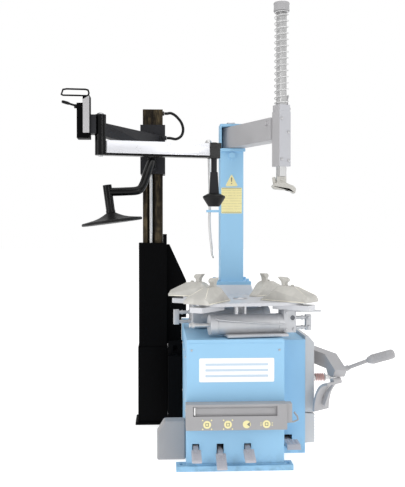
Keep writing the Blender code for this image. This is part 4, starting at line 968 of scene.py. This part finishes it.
def make_tire_lever():
    """A long bent lever that hangs in its ring on the column: a ball grip with a ferrule, and a round shank
    that thins towards its bent end.
    """
    y = 0.452
    route = smooth_path([(-0.123, y, 1.505), (-0.119, y, 1.36), (-0.116, y, 1.20), (-0.118, y, 1.10),
                         (-0.113, y, 1.02), (-0.107, y, 0.960), (-0.105, y, 0.925), (-0.096, y, 0.902)], 80)
    radius = 0.0064 - 0.0016 * np.clip((np.linspace(0, 1, 80) - 0.80) / 0.2, 0, 1)
    angle = np.linspace(0, math.pi, 17)
    ball = lathe([(0.0172 * math.sin(a), -0.0172 * math.cos(a)) for a in angle], 32, shift(-0.123, y, 1.512))
    ferrule = rod((-0.1225, y, 1.470), (-0.1228, y, 1.497), 0.009, 0.002)
    shape = together(tube(route, radius, 18), ball, ferrule)
    piece("tire_lever_finished", shape, STEEL, BODY_OF["tire_lever"], "tire_lever")


# ---------------------------------------------------------------- helper arm
def make_helper_arm():
    """The lift rod beside the post, and the moving pieces of the helper arm."""
    x, y = centre("lift_rod")[:2]
    low, high = (corner.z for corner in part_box("lift_rod"))
    piece("lift_rod_finished", rod((x, y, low), (x, y, high), 0.0085), STEEL, BODY_OF["lift_rod"], "lift_rod")
    make_tapered_arm()
    make_beam()
    make_press_cone()
    make_disc_arm()
    make_control_lever()


def make_tapered_arm():
    """A fabricated arm, deeper at its root, with the upper barrel of the elbow at its end."""
    root = np.array((-0.392, 0.553))
    reach = float(np.linalg.norm(HINGE[:2] - root))
    direction = math.atan2(HINGE[1] - root[1], HINGE[0] - root[0])
    side = [(0.020, 1.470), (reach, 1.492), (reach, 1.553), (0.020, 1.560)]
    arm = prism(corners(side, 0.003), -0.023, 0.023, 0.004, "Y", shift(*root, 0) @ turn(direction))
    flange = box((-0.462, 0.537, 1.468), (-0.352, 0.5547, 1.562), 0.006, 0.002, across="Y")
    barrel = lathe([(0.0104, 1.4895), (0.0255, 1.4895), (0.0265, 1.4905), (0.0265, 1.591), (0.0255, 1.592),
                    (0.0104, 1.592), (0.0104, 1.4895)], 48, shift(*at(HINGE)))
    ledge = box((-0.702, -0.022, 1.500), (-0.674, 0.050, 1.588), 0.003, 0.0015)
    bolts = [hexagon(stand((x, 0.5372, z), (x, 0.50, z)), 0.015, 0.007, 0.0015)
             for x in (-0.452, -0.362) for z in (1.480, 1.550)]
    shape = together(arm, flange, ledge, *bolts)
    piece("tapered_arm_finished", shape, SOOT, BODY_OF["tapered_arm"], "tapered_arm")
    piece("elbow_barrel", barrel, GLOSS, BODY_OF["tapered_arm"])
    pin = [(0, 1.396), (0.0100, 1.396), (0.0100, 1.5925), (0.0145, 1.5925), (0.015, 1.594), (0.015, 1.5975),
           (0.0145, 1.5985), (0.0070, 1.5985), (0.0068, 1.601), (0.006, 1.602), (0, 1.602)]
    piece("elbow_pin_finished", lathe(pin, 40, shift(*at(HINGE))), STEEL, BODY_OF["elbow_pin"], "elbow_pin")


def make_control_lever():
    """A short stub and stem, then a grip whose radius thins towards both ends with a cubed fall."""
    lever = together(rod((-0.7645, 0.0, 1.628), (-0.776, 0.0, 1.628), 0.010, 0.0015),
                     tube([(-0.774, 0.0, 1.632), (-0.787, 0, 1.636), (-0.800, 0.0, 1.640)], 0.005),
                     tube(smooth_path([(-0.797, 0.0, 1.6395), (-0.815, 0, 1.6447), (-0.834, 0.0, 1.650)], 12),
                          0.0075 - 0.002 * np.abs(np.linspace(-1, 1, 12)) ** 3, 20))
    piece("control_lever_finished", lever, GLOSS, BODY_OF["control_lever"], "control_lever")


def make_beam():
    """A drawn aluminium profile with one wide, shallow groove along each side."""
    reach = float(np.linalg.norm(PRESS[:2] - HINGE[:2]))
    low, high = (corner.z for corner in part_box("beam"))
    groove, lip = 0.0012, 0.004
    side = [(-0.022, low), (0.022, low), (0.022, low + lip), (0.022 - groove, low + lip + 0.002),
            (0.022 - groove, high - lip - 0.002), (0.022, high - lip), (0.022, high), (-0.022, high),
            (-0.022, high - lip), (-0.022 + groove, high - lip - 0.002), (-0.022 + groove, low + lip + 0.002),
            (-0.022, low + lip)]
    shape = prism(corners(side, [0.002, 0.002, 0, 0, 0, 0, 0.002, 0.002, 0, 0, 0, 0]), 0.0275, reach - 0.026,
                  0.0005, "X", ON_HINGE)
    piece("beam_finished", shape, BEAM, BODY_OF["beam"], "beam")


def make_press_cone():
    """A turned rubber cone: a blunt tip that flares up to a rim, then a neck bored for the rod."""
    low, high = (corner.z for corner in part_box("press_cone"))
    cone = [(0, low), (0.026, low), (0.029, low + 0.001), (0.031, low + 0.005), (0.0525, 1.2060),
            (0.0545, 1.2100), (0.0545, 1.2150), (0.0530, 1.2175), (0.036, 1.2265), (0.030, high),
            (0.0104, high), (0.0104, 1.1795), (0, 1.1795)]
    shape = lathe(cone, 64, shift(*at(PRESS)))
    piece("press_cone_finished", shape, BLACK_RUBBER, BODY_OF["press_cone"], "press_cone")


def make_disc_arm():
    """A bent tube from a knuckle on the carriage's pin to a sleeve over the disc, and the turned disc."""
    route = smooth_path([(-0.423, 0.500, 1.418), (-0.430, 0.455, 1.400), (-0.447, 0.405, 1.345),
                         (-0.466, 0.372, 1.285), (-0.492, 0.352, 1.256), (-0.560, 0.338, 1.249),
                         (-0.640, 0.330, 1.246)], 70)
    top, bottom = np.array((-0.648, 0.330, 1.282)), np.array((-0.629, 0.330, 1.140))
    lean = (bottom - top) / np.linalg.norm(bottom - top)
    knuckle = lathe([(0.0084, 1.3865), (0.023, 1.3865), (0.024, 1.3875), (0.024, 1.4385), (0.023, 1.4395),
                     (0.0084, 1.4395), (0.0084, 1.3865)], 40, shift(-0.423, 0.520, 0))
    sleeve = rod(top, bottom, 0.0225, 0.002, 48)
    collar = rod(bottom - lean * 0.012, bottom - lean * 0.0005, 0.0240, 0.001, 48)
    stub = rod(bottom - lean * 0.01, bottom + lean * 0.030, 0.010)
    piece("disc_arm_finished", together(knuckle, tube(route, 0.0215, 32), sleeve, collar, stub), GLOSS,
          BODY_OF["disc_arm"], "disc_arm")
    profile = [(0, -0.0440), (0.030, -0.0455), (0.100, -0.0500), (0.143, -0.0530), (0.150, -0.0530),
               (0.1545, -0.0505), (0.1550, -0.0460), (0.1535, -0.0415), (0.149, -0.0385), (0.140, -0.0375),
               (0.118, -0.0340), (0.090, -0.0290), (0.068, -0.0225), (0.050, -0.0150), (0.036, -0.0075),
               (0.027, -0.0025), (0.024, -0.0003), (0.0104, -0.0003), (0.0104, -0.032), (0, -0.032)]
    disc = lathe(profile, 96, stand(bottom, bottom - lean))
    piece("bead_disc_finished", disc, BLACK_RUBBER, BODY_OF["bead_disc"], "bead_disc")


# ---------------------------------------------------------------- studio
def make_studio():
    """A pale floor that glows, a background that only the camera sees at full strength, and four lamps."""
    sheet = bpy.data.meshes.new("floor")
    sheet.from_pydata([(-40, -40, 0), (40, -40, 0), (40, 40, 0), (-40, 40, 0)], [], [(0, 1, 2, 3)])
    floor = bpy.data.objects.new("floor", sheet)
    floor.location.z = -0.0002
    bpy.context.scene.collection.objects.link(floor)
    paper = Finish("studio_floor", (0.62, 0.62, 0.62), 0.9)
    paper.set("Emission Color", (1, 1, 1, 1))
    paper.set("Emission Strength", 0.72)
    sheet.materials.append(paper.material)
    world = bpy.data.worlds.new("studio")
    world.use_nodes = True
    tree = world.node_tree
    backdrop = tree.nodes["Background"]
    path = tree.nodes.new("ShaderNodeLightPath")
    strength = Wire(tree, path.outputs["Is Camera Ray"]) * (1.0 - AMBIENT) + AMBIENT
    backdrop.inputs["Color"].default_value = (1, 1, 1, 1)
    tree.links.new(strength.socket, backdrop.inputs["Strength"])
    bpy.context.scene.world = world
    for name, place, target, size, power in LAMPS:
        data = bpy.data.lights.new(name, "AREA")
        data.shape, data.size, data.size_y, data.energy = "RECTANGLE", *size, power
        lamp = bpy.data.objects.new(name, data)
        lamp.location = place
        lamp.rotation_euler = (Vector(target) - Vector(place)).to_track_quat("-Z", "Y").to_euler()
        bpy.context.scene.collection.objects.link(lamp)
    view = bpy.context.scene.view_settings
    view.view_transform, view.look, view.exposure, view.gamma = "Standard", "None", 0.0, 1.0


AMBIENT = 0.63
LAMPS = (                         # name, place, target, width and height, watts
    ("overhead", (0.0, -0.3, 4.6), (0, 0.2, 0.8), (4.0, 4.0), 70),
    ("key", (2.6, -4.2, 2.4), (0, 0.1, 1.0), (0.5, 2.8), 34),
    ("left_strip", (-3.2, -1.8, 1.5), (-0.5, 0.3, 1.0), (0.5, 2.8), 24),
    ("right_strip", (3.2, 0.6, 1.5), (0, 0.2, 1.0), (0.5, 2.8), 12),
)

set_up_camera()
make_air_hose()
make_structure()
make_turntable()
make_pedals()
make_breaker()
make_foils()
make_small_fittings()
make_mounting_side()
make_helper_arm()
make_studio()
